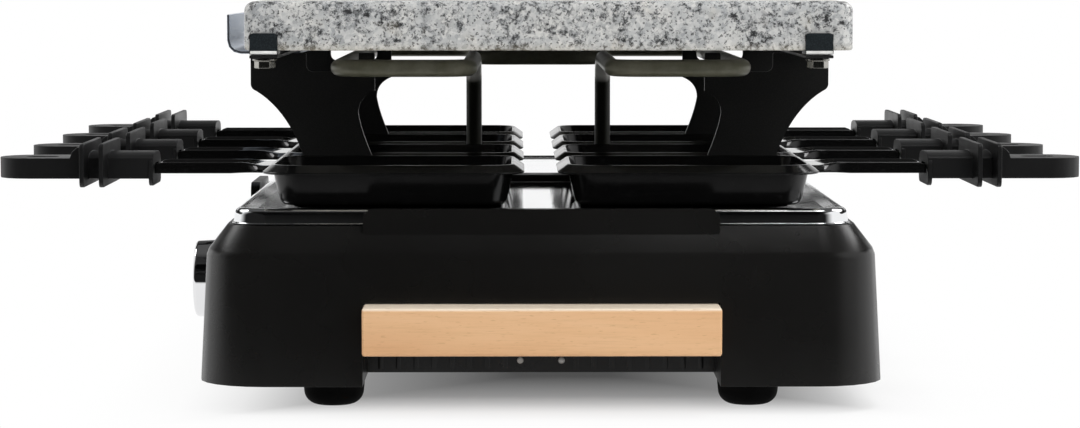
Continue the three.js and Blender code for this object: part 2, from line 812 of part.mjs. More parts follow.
function makeUprightScrew() {
  const seat = flange_top_z + seat_gap;
  const tip = seat - screw_length;
  const head_top = seat + screw_head_height;
  const profile = [[0, tip], [screw_shank_radius, tip], [screw_shank_radius, seat], [screw_head_radius, seat],
    [screw_head_radius, seat + screw_head_height / 2], [screw_head_radius / 2, head_top], [0, head_top]];
  return turned(profile, hole_sides).translate([upright_foot_middle_x, pan_pitch - screw_y, 0]);
}

placeQuarters("upright_screw", makeUprightScrew(), "polished_steel");

// Rails, clips and bolts

function makeRail() {
  const shape = rectangle(rail_x - rail_width / 2, -clip_outer_y, rail_x + rail_width / 2, clip_outer_y);
  const rail = pushed(shape, "z", rail_z, rail_z + rail_sheet);
  const cuts = [];
  for (const [, side_y] of ends) {
    cuts.push(rod(bolt_shank_radius + hole_gap, "z", rail_z - overrun, rail_z + overrun,
      rail_x, side_y * bolt_y));
    const slot_x = rail_tab_width / 2 + hole_gap;
    const slot_y = upright_sheet / 2 + hole_gap;
    const y = side_y * pan_pitch;
    cuts.push(pushed(rectangle(rail_x - slot_x, y - slot_y, rail_x + slot_x, y + slot_y),
      "z", rail_z - overrun, rail_z + overrun));
  }
  return cut(rail, cuts);
}

const rail_geometry = geometryOf(makeRail());
for (const [side, side_x] of sides) {
  const material = new THREE.MeshStandardMaterial(finish.black_powder);
  const rail = new THREE.Mesh(flipped(rail_geometry, side_x, 1), material);
  rail.name = `rail_${side}`;
  grill.add(rail);
}

function makeClip() {
  const inner = clip_outer_y - clip_foot_length;
  const shape = outline([[inner, clip_z], [clip_outer_y, clip_z], [clip_outer_y, clip_z + clip_height],
    [clip_outer_y - clip_sheet, clip_z + clip_height], [clip_outer_y - clip_sheet, clip_z + clip_foot_sheet],
    [inner, clip_z + clip_foot_sheet]]);
  const clip = pushed(shape, "x", rail_x - rail_width / 2, rail_x + rail_width / 2);
  return clip.subtract(rod(bolt_shank_radius + hole_gap, "z", clip_z - overrun,
    clip_z + clip_foot_sheet + overrun, rail_x, bolt_y));
}

placeQuarters("stone_clip", makeClip(), "black_powder");

function makeBolt() {
  const seat = rail_z - seat_gap;
  const washer_z = seat - bolt_washer_height;
  const head_z = washer_z - bolt_head_height;
  const tip = clip_z + clip_foot_sheet;
  const head = pushed(disc(bolt_head_radius, 6, rail_x, bolt_y), "z", head_z, washer_z);
  const washer = rod(bolt_washer_radius, "z", washer_z, seat, rail_x, bolt_y, round_sides);
  const shank = rod(bolt_shank_radius, "z", washer_z, tip, rail_x, bolt_y);
  return joined([head, washer, shank]);
}

placeQuarters("clip_bolt", makeBolt(), "polished_steel");

// Stone plate

function makeStone() {
  const half_x = stone_width / 2;
  const half_y = stone_length / 2;
  const top = stone_z + stone_thickness;
  const levels = [
    [half_x - stone_bottom_round, half_y - stone_bottom_round, stone_corner, stone_z],
    [half_x, half_y, stone_corner, stone_z + stone_bottom_round],
  ];
  const round = quarter([0, top - stone_top_round], [stone_top_round, top], [stone_top_round,
    top - stone_top_round]);
  round.forEach(([inset, z]) => levels.push([half_x - inset, half_y - inset, stone_corner, z]));
  return lofted(levels, wide_corner_steps).translate([stone_shift, 0, 0]);
}

place("stone_plate", makeStone(), "granite");

// Drip guard

function makeDripGuard() {
  const top = rail_z - seat_gap;
  const out = -rail_x - guard_strip_reach;
  const low = top - guard_sheet;
  const outer_round = quarter([out, low + guard_strip_round], [out + guard_strip_round, low],
    [out + guard_strip_round, low + guard_strip_round]);
  const inner_radius = guard_strip_round - guard_sheet;
  const inner_round = quarter([out + guard_strip_round, top], [out + guard_sheet, top + inner_radius],
    [out + guard_strip_round, top + inner_radius]);
  const end = -rail_x + rail_width / 2;
  const wall_top = low + guard_strip_height;
  const points = [...outer_round, [end, low], [end, top], ...inner_round,
    [out + guard_sheet, wall_top], [out, wall_top]];
  return pushed(outline(points), "y", -guard_strip_half_length, guard_strip_half_length);
}

place("drip_guard", makeDripGuard(), "polished_steel");

// Pans: drawn along +X with the middle of the tray over the origin's line, at their working height

const tray_middle = (pan_column_gap + pan_length) / 2;
const brim_slant = Math.hypot(pan_brim_reach, pan_brim_drop);

function trayLevel(inset, z) {
  const corner = Math.max(pan_corner - inset, pan_floor_round);
  return [pan_length / 2 - inset, pan_width / 2 - inset, corner, pan_z + z];
}

function makeTray() {
  const foot = pan_brim_reach + pan_taper;
  const outer_floor = quarter([foot + pan_floor_round, 0], [foot, pan_floor_round],
    [foot + pan_floor_round, pan_floor_round]);
  const inner_radius = pan_floor_round - pan_sheet;
  const inner_foot = foot + pan_sheet;
  const inner_floor = quarter([inner_foot, pan_floor_round], [inner_foot + inner_radius, pan_sheet],
    [inner_foot + inner_radius, pan_floor_round]);
  const edge_z = pan_height - pan_brim_drop;
  const levels = [
    ...outer_floor,
    [pan_brim_reach, pan_height - (pan_sheet * brim_slant) / pan_brim_reach],
    [(pan_sheet * pan_brim_drop) / brim_slant, edge_z - (pan_sheet * pan_brim_reach) / brim_slant],
    [0, edge_z],
    [pan_brim_reach, pan_height],
    [pan_brim_reach + pan_sheet / 2, pan_height],
    [pan_brim_reach + pan_sheet, pan_height - pan_sheet / 2],
    ...inner_floor,
  ];
  return lofted(levels.map(([inset, z]) => trayLevel(inset, z))).translate([tray_middle, 0, 0]);
}

// What the arm has to stay clear of: the brim's slope and edge, with a gap.
function makeBrimClearance() {
  const crest_x = rim_outer_x - pan_brim_reach;
  const edge_x = rim_outer_x + seat_gap;
  const slope_gap = (seat_gap * brim_slant) / pan_brim_reach;
  const edge_z = rim_z - pan_brim_drop + slope_gap - (seat_gap * pan_brim_drop) / pan_brim_reach;
  const low = rim_z - pan_height;
  const shape = outline([[crest_x, low], [edge_x, low], [edge_x, edge_z], [crest_x, rim_z + slope_gap]]);
  return pushed(shape, "y", -pan_width / 2, pan_width / 2);
}

function makeArm() {
  const root = rim_outer_x - pan_brim_reach / 2;
  const near = rim_outer_x + seat_gap;
  const far = rim_outer_x + arm_reach;
  const shoulder = far - arm_tongue_length;
  const top = rim_z - arm_drop;
  const under = top - arm_sheet;
  const low = top - arm_skirt_height;
  const half = arm_width / 2;
  const flare_half = arm_flare_width / 2;
  const flare_end = near + arm_flare_length;
  const plan = new THREE.Shape();
  plan.moveTo(root, -flare_half);
  plan.lineTo(near, -flare_half);
  plan.quadraticCurveTo(near + arm_flare_length / 4, -half, flare_end, -half);
  plan.lineTo(shoulder, -half);
  plan.lineTo(shoulder, half);
  plan.lineTo(flare_end, half);
  plan.quadraticCurveTo(near + arm_flare_length / 4, half, near, flare_half);
  plan.lineTo(root, flare_half);
  const bead_half = arm_bead_width / 2;
  const bead_top = top + arm_bead_height;
  const bead = outline([[-bead_half, (top + under) / 2], [bead_half, (top + under) / 2], [bead_half, top],
    [bead_half - arm_bead_slope, bead_top], [arm_bead_slope - bead_half, bead_top], [-bead_half, top]]);
  const tongue = rectangle(-arm_tongue_width / 2, under, arm_tongue_width / 2, top);
  const skirt = outline([[near, under], [flare_end, low], [shoulder, low], [shoulder, top], [near, top]]);
  const arm = joined([
    pushed(plan, "z", under, top),
    pushed(bead, "x", root, shoulder),
    pushed(tongue, "x", near, far),
    pushed(skirt, "y", -half, arm_skirt_wall - half),
    pushed(skirt, "y", half - arm_skirt_wall, half),
  ]);
  return arm.subtract(makeBrimClearance());
}

function makeHandle() {
  const near = rim_outer_x + arm_reach - arm_tongue_length + seat_gap;
  const fin_1 = near + barrel_length;
  const fin_2 = fin_1 + fin_spacing;
  const paddle = fin_2 + fin_thickness;
  const root = paddle - fin_thickness / 2;
  const far = near + handle_length;
  const low = rim_z - handle_drop;
  const edge = low + handle_depth;
  const half = handle_width / 2;
  const crown = [];
  for (let step = 0; step <= 2 * corner_steps; step += 1) {
    const angle = (step / (2 * corner_steps)) * Math.PI;
    crown.push([half * Math.cos(angle), edge + handle_crown * Math.sin(angle)]);
  }
  const barrel = pushed(outline([[-half, low], [half, low], ...crown]), "x", near, paddle);
  const guard_shape = rounded(-guard_width / 2, rim_z - guard_bottom, guard_width / 2, edge, guard_corner);
  const guard = pushed(guard_shape, "x", near, near + guard_thickness);
  const fin_shape = rounded(-fin_width / 2, rim_z - fin_bottom, fin_width / 2, rim_z + fin_top, fin_corner);
  const fins = [fin_1, fin_2].map((x) => pushed(fin_shape, "x", x, x + fin_thickness));
  const blade = new THREE.Shape();
  blade.moveTo(root, -half);
  blade.lineTo(far - half, -half);
  for (let step = 1; step < round_sides / 2; step += 1) {
    const angle = (step / (round_sides / 2)) * Math.PI - Math.PI / 2;
    blade.lineTo(far - half + half * Math.cos(angle), half * Math.sin(angle));
  }
  blade.lineTo(far - half, half);
  blade.lineTo(root, half);
  const grip = pushed(blade, "z", low, edge);
  const gusset = outline([[root, edge - gusset_root], [paddle + gusset_length, edge - gusset_root],
    ...quarter([paddle + gusset_length, edge], [paddle, edge + gusset_height], [paddle, edge]),
    [root, edge + gusset_height]]);
  const stop = pushed(gusset, "y", -half, half);
  const socket_half = arm_tongue_width / 2 + hole_gap;
  const tongue_top = rim_z - arm_drop;
  const socket = pushed(rectangle(-socket_half, tongue_top - arm_sheet - hole_gap, socket_half,
    tongue_top + hole_gap), "x", near - overrun, rim_outer_x + arm_reach + hole_gap);
  const slot_x = far - hang_slot_inset;
  const slot = rounded(slot_x - hang_slot_length / 2, -hang_slot_width / 2, slot_x + hang_slot_length / 2,
    hang_slot_width / 2, hang_slot_width / 2);
  const hang_slot = pushed(slot, "z", low - overrun, edge + overrun);
  return cut(joined([barrel, guard, ...fins, grip, stop]), [socket, hang_slot]);
}

const pan_pieces = [
  ["tray", geometryOf(makeTray()), "black_enamel"],
  ["arm", geometryOf(makeArm()), "black_powder"],
  ["handle", geometryOf(makeHandle()), "handle_plastic"],
];

for (const [side, side_x] of sides) {
  for (let row = 0; row < pan_rows; row += 1) {
    const pan = new THREE.Group();
    pan.position.y = rowY(row);
    pan.rotation.z = side_x < 0 ? Math.PI : 0;
    for (const [piece, geometry, look] of pan_pieces) {
      const mesh = new THREE.Mesh(geometry, new THREE.MeshStandardMaterial(finish[look]));
      mesh.name = `pan_${side}_${row + 1}_${piece}`;
      pan.add(mesh);
    }
    grill.add(pan);
  }
}

// Control side: knob, thermostat, pilot lens and cord inlet in the left long wall

const knob_wall_x = wallSizes(0, knob_z)[0];
const knob_wall_inside_x = knob_wall_x - housing_wall - wall_draft / 2;

function makeKnob() {
  const back = knob_wall_x + wall_draft / 2 + knob_wall_gap;
  const face = back + knob_length;
  const face_radius = knob_radius - knob_face_inset;
  const socket_radius = shaft_radius + hole_gap;
  const profile = [[0, shaft_reach], [socket_radius, shaft_reach], [socket_radius, 0], [knob_radius, 0],
    ...quarter([face_radius, knob_length - knob_edge_round], [face_radius - knob_edge_round, knob_length],
      [face_radius - knob_edge_round, knob_length - knob_edge_round]),
    [0, knob_length]];
  const body = turned(profile, fine_sides, "x").translate([back, 0, knob_z]);
  const groove = pushed(rectangle(-knob_groove_width / 2, knob_z + knob_radius / 3,
    knob_groove_width / 2, knob_z + knob_radius), "x", face - knob_groove_depth, face + overrun);
  return body.subtract(groove);
}

function makeThermostat() {
  const front = knob_wall_inside_x - seat_gap;
  const plate_back = front - thermostat_plate_thickness;
  const back = plate_back - thermostat_depth;
  const half = thermostat_width / 2;
  const plate_half = half + thermostat_plate_margin;
  const tall = thermostat_height / 2;
  const knob_back = knob_wall_x + wall_draft / 2 + knob_wall_gap;
  return joined([
    pushed(rectangle(-half, knob_z - tall, half, knob_z + tall), "x", back, plate_back),
    pushed(rectangle(-plate_half, knob_z - tall, plate_half, knob_z + tall), "x", plate_back, front),
    rod(thermostat_collar_radius, "x", front - thermostat_plate_thickness / 2, knob_wall_x - housing_wall / 2,
      0, knob_z, round_sides),
    rod(shaft_radius, "x", plate_back, knob_back + shaft_reach - seat_gap, 0, knob_z),
  ]);
}

function makeLens() {
  const seat = knob_wall_x + seat_gap;
  const tip = seat + lens_flange_thickness;
  const profile = [[0, seat - lens_length], [lens_radius, seat - lens_length], [lens_radius, seat],
    [lens_flange_radius, seat], [lens_flange_radius, tip],
    ...quarter([lens_radius, tip], [0, tip + lens_radius / 2], [0, tip])];
  return turned(profile, round_sides, "x").translate([0, -lens_offset, knob_z]);
}

function makeInlet() {
  const z = housing_z + inlet_height;
  const wall_x = wallSizes(0, z)[0];
  const seat = wall_x + wall_draft / 4 + seat_gap;
  const inner = wall_x - housing_wall - wall_draft / 4 - seat_gap;
  const outer_end = seat + inlet_flange_thickness;
  const inner_end = inner - inlet_flange_thickness;
  const ring = [[inlet_bore_radius, inner_end], [inlet_flange_radius, inner_end],
    [inlet_flange_radius, inner], [inlet_neck_radius, inner], [inlet_neck_radius, seat],
    [inlet_flange_radius, seat], [inlet_flange_radius, outer_end - seat_gap],
    [inlet_flange_radius - seat_gap, outer_end], [inlet_bore_radius, outer_end],
    [inlet_bore_radius, inner_end]];
  return turned(ring, round_sides, "x").translate([0, -inlet_offset, z]);
}

// The pieces of the control side are drawn outwards along +X and turned to the left, which turns Y too.
const control_side = new THREE.Group();
control_side.rotation.z = Math.PI;
grill.add(control_side);
place("thermostat_knob", makeKnob(), "polished_steel", control_side);
place("thermostat_body", makeThermostat(), "black_plastic", control_side);
place("pilot_lens", makeLens(), "amber", control_side);
place("cord_inlet", makeInlet(), "rubber", control_side);

export default grill;
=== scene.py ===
"""The looks of a raclette grill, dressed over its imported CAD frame. Metres; X across, Y along, Z up."""

import json
import math

import bmesh
import bpy
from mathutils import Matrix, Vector


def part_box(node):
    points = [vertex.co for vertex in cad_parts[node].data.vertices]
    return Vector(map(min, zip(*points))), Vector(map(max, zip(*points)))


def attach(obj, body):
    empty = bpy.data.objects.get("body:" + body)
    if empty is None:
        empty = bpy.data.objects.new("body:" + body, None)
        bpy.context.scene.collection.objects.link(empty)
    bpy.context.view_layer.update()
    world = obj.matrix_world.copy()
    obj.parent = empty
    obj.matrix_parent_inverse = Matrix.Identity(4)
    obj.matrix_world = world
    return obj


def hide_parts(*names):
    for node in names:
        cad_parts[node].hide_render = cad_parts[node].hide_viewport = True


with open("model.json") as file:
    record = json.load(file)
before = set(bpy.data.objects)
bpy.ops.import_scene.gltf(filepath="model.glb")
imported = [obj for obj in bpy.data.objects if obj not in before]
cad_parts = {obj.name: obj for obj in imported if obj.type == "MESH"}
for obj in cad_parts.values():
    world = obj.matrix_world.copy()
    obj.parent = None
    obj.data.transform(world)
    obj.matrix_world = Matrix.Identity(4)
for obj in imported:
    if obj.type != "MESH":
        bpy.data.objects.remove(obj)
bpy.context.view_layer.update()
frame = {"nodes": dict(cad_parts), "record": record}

SIDES = (("left", -1), ("right", 1))
ENDS = (("front", -1), ("rear", 1))
QUARTERS = [(f"{end}_{side}", x, y) for end, y in ENDS for side, x in SIDES]
PANS = [(f"pan_{side}_{row}", sign) for side, sign in SIDES for row in range(1, 5)]
MM = 0.001

# Node trees


class Nodes:
    """Short calls for the nodes of one tree."""

    def __init__(self, tree):
        self.tree = tree

    def node(self, kind, **settings):
        made = self.tree.nodes.new(kind)
        for key, value in settings.items():
            setattr(made, key, value)
        return made

    def join(self, output, target):
        self.tree.links.new(output, target)

    def feed(self, socket, value):
        """Sets a socket to a number or a colour, or joins an output to it."""
        if isinstance(value, (int, float)):
            socket.default_value = value
        elif isinstance(value, tuple):
            socket.default_value = (*value, 1)
        else:
            self.join(value, socket)

    def axes(self, at):
        made = self.node("ShaderNodeSeparateXYZ")
        self.join(at, made.inputs[0])
        return made.outputs

    def math(self, operation, a, b=0):
        made = self.node("ShaderNodeMath", operation=operation)
        self.feed(made.inputs[0], a)
        self.feed(made.inputs[1], b)
        return made.outputs[0]

    def mapped(self, value, low, high, to_low, to_high, **settings):
        made = self.node("ShaderNodeMapRange", **settings)
        for key, number in (("From Min", low), ("From Max", high), ("To Min", to_low), ("To Max", to_high)):
            made.inputs[key].default_value = number
        self.join(value, made.inputs["Value"])
        return made.outputs["Result"]

    def glow(self, kind, strength):
        """White light from an emission or a background."""
        made = self.node(kind)
        self.feed(made.inputs["Color"], (1, 1, 1))
        self.feed(made.inputs["Strength"], strength)
        return made.outputs[0]

    def blend(self, fac, a, b):
        """Shader b over shader a."""
        made = self.node("ShaderNodeMixShader")
        for socket, output in zip(made.inputs, (fac, a, b)):
            self.join(output, socket)
        return made.outputs[0]

    def ray_kinds(self):
        """Two outputs: rays from the camera, through glass too, and glossy rays."""
        rays = self.node("ShaderNodeLightPath").outputs
        return self.math("MAXIMUM", rays["Is Camera Ray"], rays["Is Transmission Ray"]), rays["Is Glossy Ray"]


# Camera and light

IMAGE_SIZE = (1080, 428)
FOCAL_PIXELS = 3077
VANISHING_PIXEL = (516, -26)  # where lines along +Y meet in the photograph
CAMERA_PLACE = (-0.0104, -1.439, 0.179)
CAMERA_CLIP = (0.05, 60)
SENSOR_WIDTH = 36

LAMPS = (  # name, place, target, size, watts, and whether gloss mirrors it
    ("key", (0.4, -0.35, 1.4), (0.1, -0.1, 0.08), (0.4, 0.3), 2.2, True),
    ("rim_left", (-1.05, 0.45, 1.05), (0, -0.05, 0.08), (0.5, 0.5), 3, True),
    ("rim_right", (1.05, 0.5, 1.1), (0, -0.05, 0.08), (0.6, 0.6), 6, True),
    ("top", (0.7, 0.1, 1.6), (0, 0, 0.1), (1.5, 1.2), 14, False),
    ("front", (0.9, -1.8, 0.9), (0, -0.2, 0.08), (1.6, 0.8), 10, False),
)

WHITE_FROM_Y = (-0.62, -0.05)  # where the mirrored room turns from dark to white
DARK_FRONT = 0.012  # strength of the mirrored room in front
WHITE_LEAN = 0.4  # how much earlier it turns white on the right than on the left
WALL_TOP_Z = (0.07, 0.2)  # how high the mirrored walls turn into the dim ceiling straight behind
WALL_RISE = 0.85  # how much higher they stand towards the sides
DIM_CEILING = 0.09  # strength of that ceiling
SOFT_ROOM = 0.6  # strength of the even light on everything that isn't a mirror


def placed(name, data):
    """A new object in the scene."""
    made = bpy.data.objects.new(name, data)
    bpy.context.scene.collection.objects.link(made)
    return made


def make_camera():
    data = bpy.data.cameras.new("camera")
    data.sensor_width = SENSOR_WIDTH
    data.lens = SENSOR_WIDTH * FOCAL_PIXELS / IMAGE_SIZE[0]
    data.clip_start, data.clip_end = CAMERA_CLIP
    camera = placed("camera", data)
    right = IMAGE_SIZE[0] / 2 - VANISHING_PIXEL[0]
    down = IMAGE_SIZE[1] / 2 - VANISHING_PIXEL[1]
    yaw = math.atan2(right, FOCAL_PIXELS)
    pitch = math.atan2(down, math.hypot(right, FOCAL_PIXELS))
    camera.location = CAMERA_PLACE
    camera.rotation_euler = (math.pi / 2 - pitch, 0, -yaw)
    bpy.context.scene.camera = camera


def area_light(name, place, target, size, watts, mirrored):
    """A soft box; one that isn't mirrored lights surfaces but doesn't show in their gloss."""
    data = bpy.data.lights.new(name, "AREA")
    data.shape = "RECTANGLE"
    data.size, data.size_y = size
    data.energy = watts
    light = placed(name, data)
    light.location = place
    light.rotation_euler = (Vector(target) - Vector(place)).to_track_quat("-Z", "Y").to_euler()
    light.visible_glossy = mirrored


def make_world():
    """White for the camera, a dark room in front and white walls for mirrors, even light for the rest."""
    world = bpy.data.worlds.new("studio")
    bpy.context.scene.world = world
    world.use_nodes = True
    world.node_tree.nodes.clear()
    room = Nodes(world.node_tree)
    kind, soft = "ShaderNodeBackground", "SMOOTHSTEP"
    x, y, z = room.axes(room.node("ShaderNodeTexCoord").outputs["Generated"])
    turned_y = room.math("ADD", y, room.math("MULTIPLY", x, WHITE_LEAN))
    around = room.mapped(turned_y, *WHITE_FROM_Y, DARK_FRONT, 1, interpolation_type=soft)
    height = room.math("SUBTRACT", z, room.math("MULTIPLY", room.math("ABSOLUTE", x), WALL_RISE))
    upwards = room.mapped(height, *WALL_TOP_Z, 1, DIM_CEILING, interpolation_type=soft)
    walls = room.glow(kind, room.math("MULTIPLY", around, upwards))
    seen, glossy = room.ray_kinds()
    lit = room.blend(glossy, room.glow(kind, SOFT_ROOM), walls)
    surface = room.blend(seen, lit, room.glow(kind, 1))
    room.join(surface, room.node("ShaderNodeOutputWorld").inputs["Surface"])


make_camera()
make_world()
bpy.context.scene.view_settings.view_transform = "Standard"
for lamp in LAMPS:
    area_light(*lamp)

# Materials


class Look(Nodes):
    """One material: its node tree, its shader and its object coordinates."""

    def __init__(self, name, color, roughness, metallic=0, specular=0.5, clear=0):
        self.material = bpy.data.materials.new(name)
        self.material.use_nodes = True
        super().__init__(self.material.node_tree)
        self.shader = self.tree.nodes["Principled BSDF"]
        for key, value in (("Base Color", color), ("Roughness", roughness), ("Metallic", metallic),
                           ("Specular IOR Level", specular), ("Transmission Weight", clear)):
            self.feed(self.shader.inputs[key], value)
        self.place = self.node("ShaderNodeTexCoord").outputs["Object"]

    def stretched(self, scale, turn=(0, 0, 0)):
        """The object's coordinates, turned and stretched."""
        made = self.node("ShaderNodeMapping")
        made.inputs["Rotation"].default_value = turn
        made.inputs["Scale"].default_value = scale
        self.join(self.place, made.inputs["Vector"])
        return made.outputs[0]

    def noise(self, scale, detail=3, rough=0.5, at=None, distortion=0):
        made = self.node("ShaderNodeTexNoise")
        names = ("Scale", "Detail", "Roughness", "Distortion")
        for key, value in zip(names, (scale, detail, rough, distortion)):
            made.inputs[key].default_value = value
        self.join(at or self.place, made.inputs["Vector"])
        return made.outputs[0]

    def cells(self, scale, at=None):
        made = self.node("ShaderNodeTexVoronoi")
        made.inputs["Scale"].default_value = scale
        self.join(at or self.place, made.inputs["Vector"])
        return made

    def chance(self, scale, channel, at=None):
        """A random level that each Voronoi cell has to itself."""
        split = self.node("ShaderNodeSeparateColor")
        self.join(self.cells(scale, at=at).outputs["Color"], split.inputs[0])
        return split.outputs[channel]

    def ramp(self, value, stops):
        """A colour ramp; a stop is (place, colour) or (place, grey)."""
        made = self.node("ShaderNodeValToRGB")
        bar = made.color_ramp
        while len(bar.elements) < len(stops):
            bar.elements.new(0.5)
        for element, (spot, color) in zip(bar.elements, stops):
            element.position = spot
            element.color = (color,) * 3 + (1,) if isinstance(color, (int, float)) else (*color, 1)
        self.join(value, made.inputs[0])
        return made.outputs[0]

    def mixed(self, fac, a, b):
        """Colour b over colour a; each is an output, a number or a colour."""
        made = self.node("ShaderNodeMix", data_type="RGBA")
        for place, value in ((0, fac), (6, a), (7, b)):
            self.feed(made.inputs[place], value)
        return made.outputs[2]

    def color(self, output):
        self.join(output, self.shader.inputs["Base Color"])

    def roughness(self, value, low, high):
        """Roughness that wanders between two levels with a 0..1 value."""
        self.join(self.mapped(value, 0.3, 0.7, low, high), self.shader.inputs["Roughness"])

    def bump(self, height, distance, strength):
        made = self.node("ShaderNodeBump")
        made.inputs["Distance"].default_value = distance
        made.inputs["Strength"].default_value = strength
        self.join(height, made.inputs["Height"])
        self.join(made.outputs[0], self.shader.inputs["Normal"])


def plastic(name, color, roughness, grain):
    """Moulded plastic: a fine spark-eroded grain, slightly uneven in gloss."""
    look = Look(name, color, roughness, specular=0.35)
    look.roughness(look.noise(28, 4), roughness - 0.05, roughness + 0.07)
    tone = look.ramp(look.noise(9, 3), [(0.35, 0), (0.7, 1)])
    look.color(look.mixed(tone, tuple(0.85 * c for c in color), tuple(1.2 * c for c in color)))
    look.bump(look.noise(grain, 2), 0.06 * MM, 0.5)
    return look.material


def enamel(name, gloss):
    """Gloss black coating with a faint orange peel and dusty wear on the flats."""
    look = Look(name, (0.004, 0.004, 0.004), gloss, specular=0.42)
    look.roughness(look.noise(55, 5, 0.6), 0.75 * gloss, 1.5 * gloss)
    tone = look.ramp(look.noise(420, 2), [(0.62, 0), (0.75, 1)])
    look.color(look.mixed(tone, (0.0035, 0.0035, 0.0035), (0.009, 0.009, 0.009)))
    look.bump(look.noise(380, 2), 0.04 * MM, 0.3)
    return look.material


def powder(name, color, roughness):
    """Powder coat on cut sheet: a fine pebbled skin, a little lighter where the coat is thick."""
    look = Look(name, color, roughness, specular=0.4)
    look.roughness(look.noise(60, 4), 0.83 * roughness, 1.22 * roughness)
    grains = look.cells(1500).outputs["Distance"]
    tone = look.ramp(grains, [(0.1, 0), (0.6, 1)])
    look.color(look.mixed(tone, tuple(1.3 * c for c in color), tuple(0.75 * c for c in color)))
    look.bump(grains, 0.04 * MM, 0.3)
    return look.material


def steel(name, color, roughness, brush=(40, 900, 900), ripple=0.025):
    """Polished sheet: mirror-like, with faint polishing lines and smears."""
    look = Look(name, color, roughness, metallic=1)
    lines = look.noise(1, 3, 0.6, look.stretched(brush))
    smear = look.noise(14, 4, 0.55)
    look.roughness(look.mixed(0.4, smear, lines), roughness * 0.6, roughness * 1.7)
    look.bump(lines, 0.01 * MM, ripple)
    return look.material


ELBOW_REACH = 8 * MM  # radius of the painted highlight
ELBOW_FORWARD = 4 * MM  # of its middle from the leg
LEG_FADE = 9 * MM  # height over which the legs turn dark, a painted shade under the stone


def heater_tube(leg_x, elbow_z):
    """Heat-tinted olive steel, mottled, with bare patches; a painted highlight brightens the elbows over the
    legs, and painted shade darkens the legs.
    """
    look = Look("heater_steel", (0.05, 0.05, 0.03), 0.4, metallic=0.3)
    mottle = look.noise(120, 5, 0.65)
    tint = look.ramp(mottle, [
        (0.3, (0.08, 0.08, 0.052)), (0.55, (0.12, 0.118, 0.085)), (0.8, (0.17, 0.162, 0.125))])
    patch = look.ramp(look.noise(38, 2), [(0.66, 0), (0.76, 1)])
    x, y, z = look.axes(look.place)
    tinted = look.mixed(patch, tint, (0.2, 0.19, 0.155))
    # Below the elbows the legs darken to near black: painted shade.
    legs_in_painted_shade = look.mixed(look.mapped(z, elbow_z - LEG_FADE, elbow_z, 1, 0), tinted, (0.013, 0.0135, 0.0075))
    aside = look.math("SUBTRACT", look.math("ABSOLUTE", x), leg_x)
    above = look.math("SUBTRACT", z, elbow_z)
    behind = look.math("ADD", y, ELBOW_FORWARD)
    squares = [look.math("POWER", length, 2) for length in (aside, above, behind)]
    far = look.math("SQRT", look.math("ADD", look.math("ADD", squares[0], squares[1]), squares[2]))
    # A pale colour and lower roughness round each elbow: a painted highlight.
    painted_elbow_highlight = look.mapped(far, ELBOW_REACH * 0.6, ELBOW_REACH, 1, 0)
    look.color(look.mixed(painted_elbow_highlight, legs_in_painted_shade, (0.8, 0.79, 0.75)))
    look.roughness(look.math("SUBTRACT", mottle, look.math("MULTIPLY", painted_elbow_highlight, 0.4)), 0.3, 0.5)
    look.bump(mottle, 0.05 * MM, 0.35)
    return look.material


def beech():
    """Smooth beech: straight grain along the bar with short dark flecks across the faces; upward faces are
    painted paler, a painted sheen of the light from above.
    """
    look = Look("beech", (0.72, 0.49, 0.29), 0.5, specular=0.3)
    along = look.stretched((5, 90, 60), (0, math.radians(4), 0))
    bands = look.noise(1, 4, 0.5, along, 0.35)
    face = look.ramp(bands, [
        (0.3, (0.7, 0.4, 0.205)), (0.5, (0.76, 0.465, 0.25)), (0.72, (0.81, 0.53, 0.31))])
    # Faces turned up get a paler colour: a painted sheen, not the wood's own colour.
    normal = look.axes(look.node("ShaderNodeNewGeometry").outputs["Normal"])
    upper = look.mapped(normal[2], 0.25, 0.75, 0, 0.85)
    base = look.mixed(upper, face, (0.97, 0.87, 0.72))
    fibres = look.noise(1, 3, 0.7, look.stretched((45, 1500, 1500), (0, math.radians(7), 0)))
    fibred = look.mixed(look.ramp(fibres, [(0.32, 0.2), (0.52, 0)]), base, (0.5, 0.28, 0.13))
    flecks = look.noise(1, 1, 0.4, look.stretched((260, 700, 1900), (0, math.radians(27), 0)))
    spots = look.ramp(flecks, [(0.64, 0), (0.74, 0.4)])
    look.color(look.mixed(spots, fibred, (0.47, 0.25, 0.11)))
    look.roughness(bands, 0.42, 0.58)
    look.bump(fibres, 0.04 * MM, 0.4)
    return look.material


CRYSTAL_JOG = 1.4 * MM  # how far the crystals' borders wander
SAND_HEIGHT = 3.5 * MM  # of the sandy stain along the lower edge


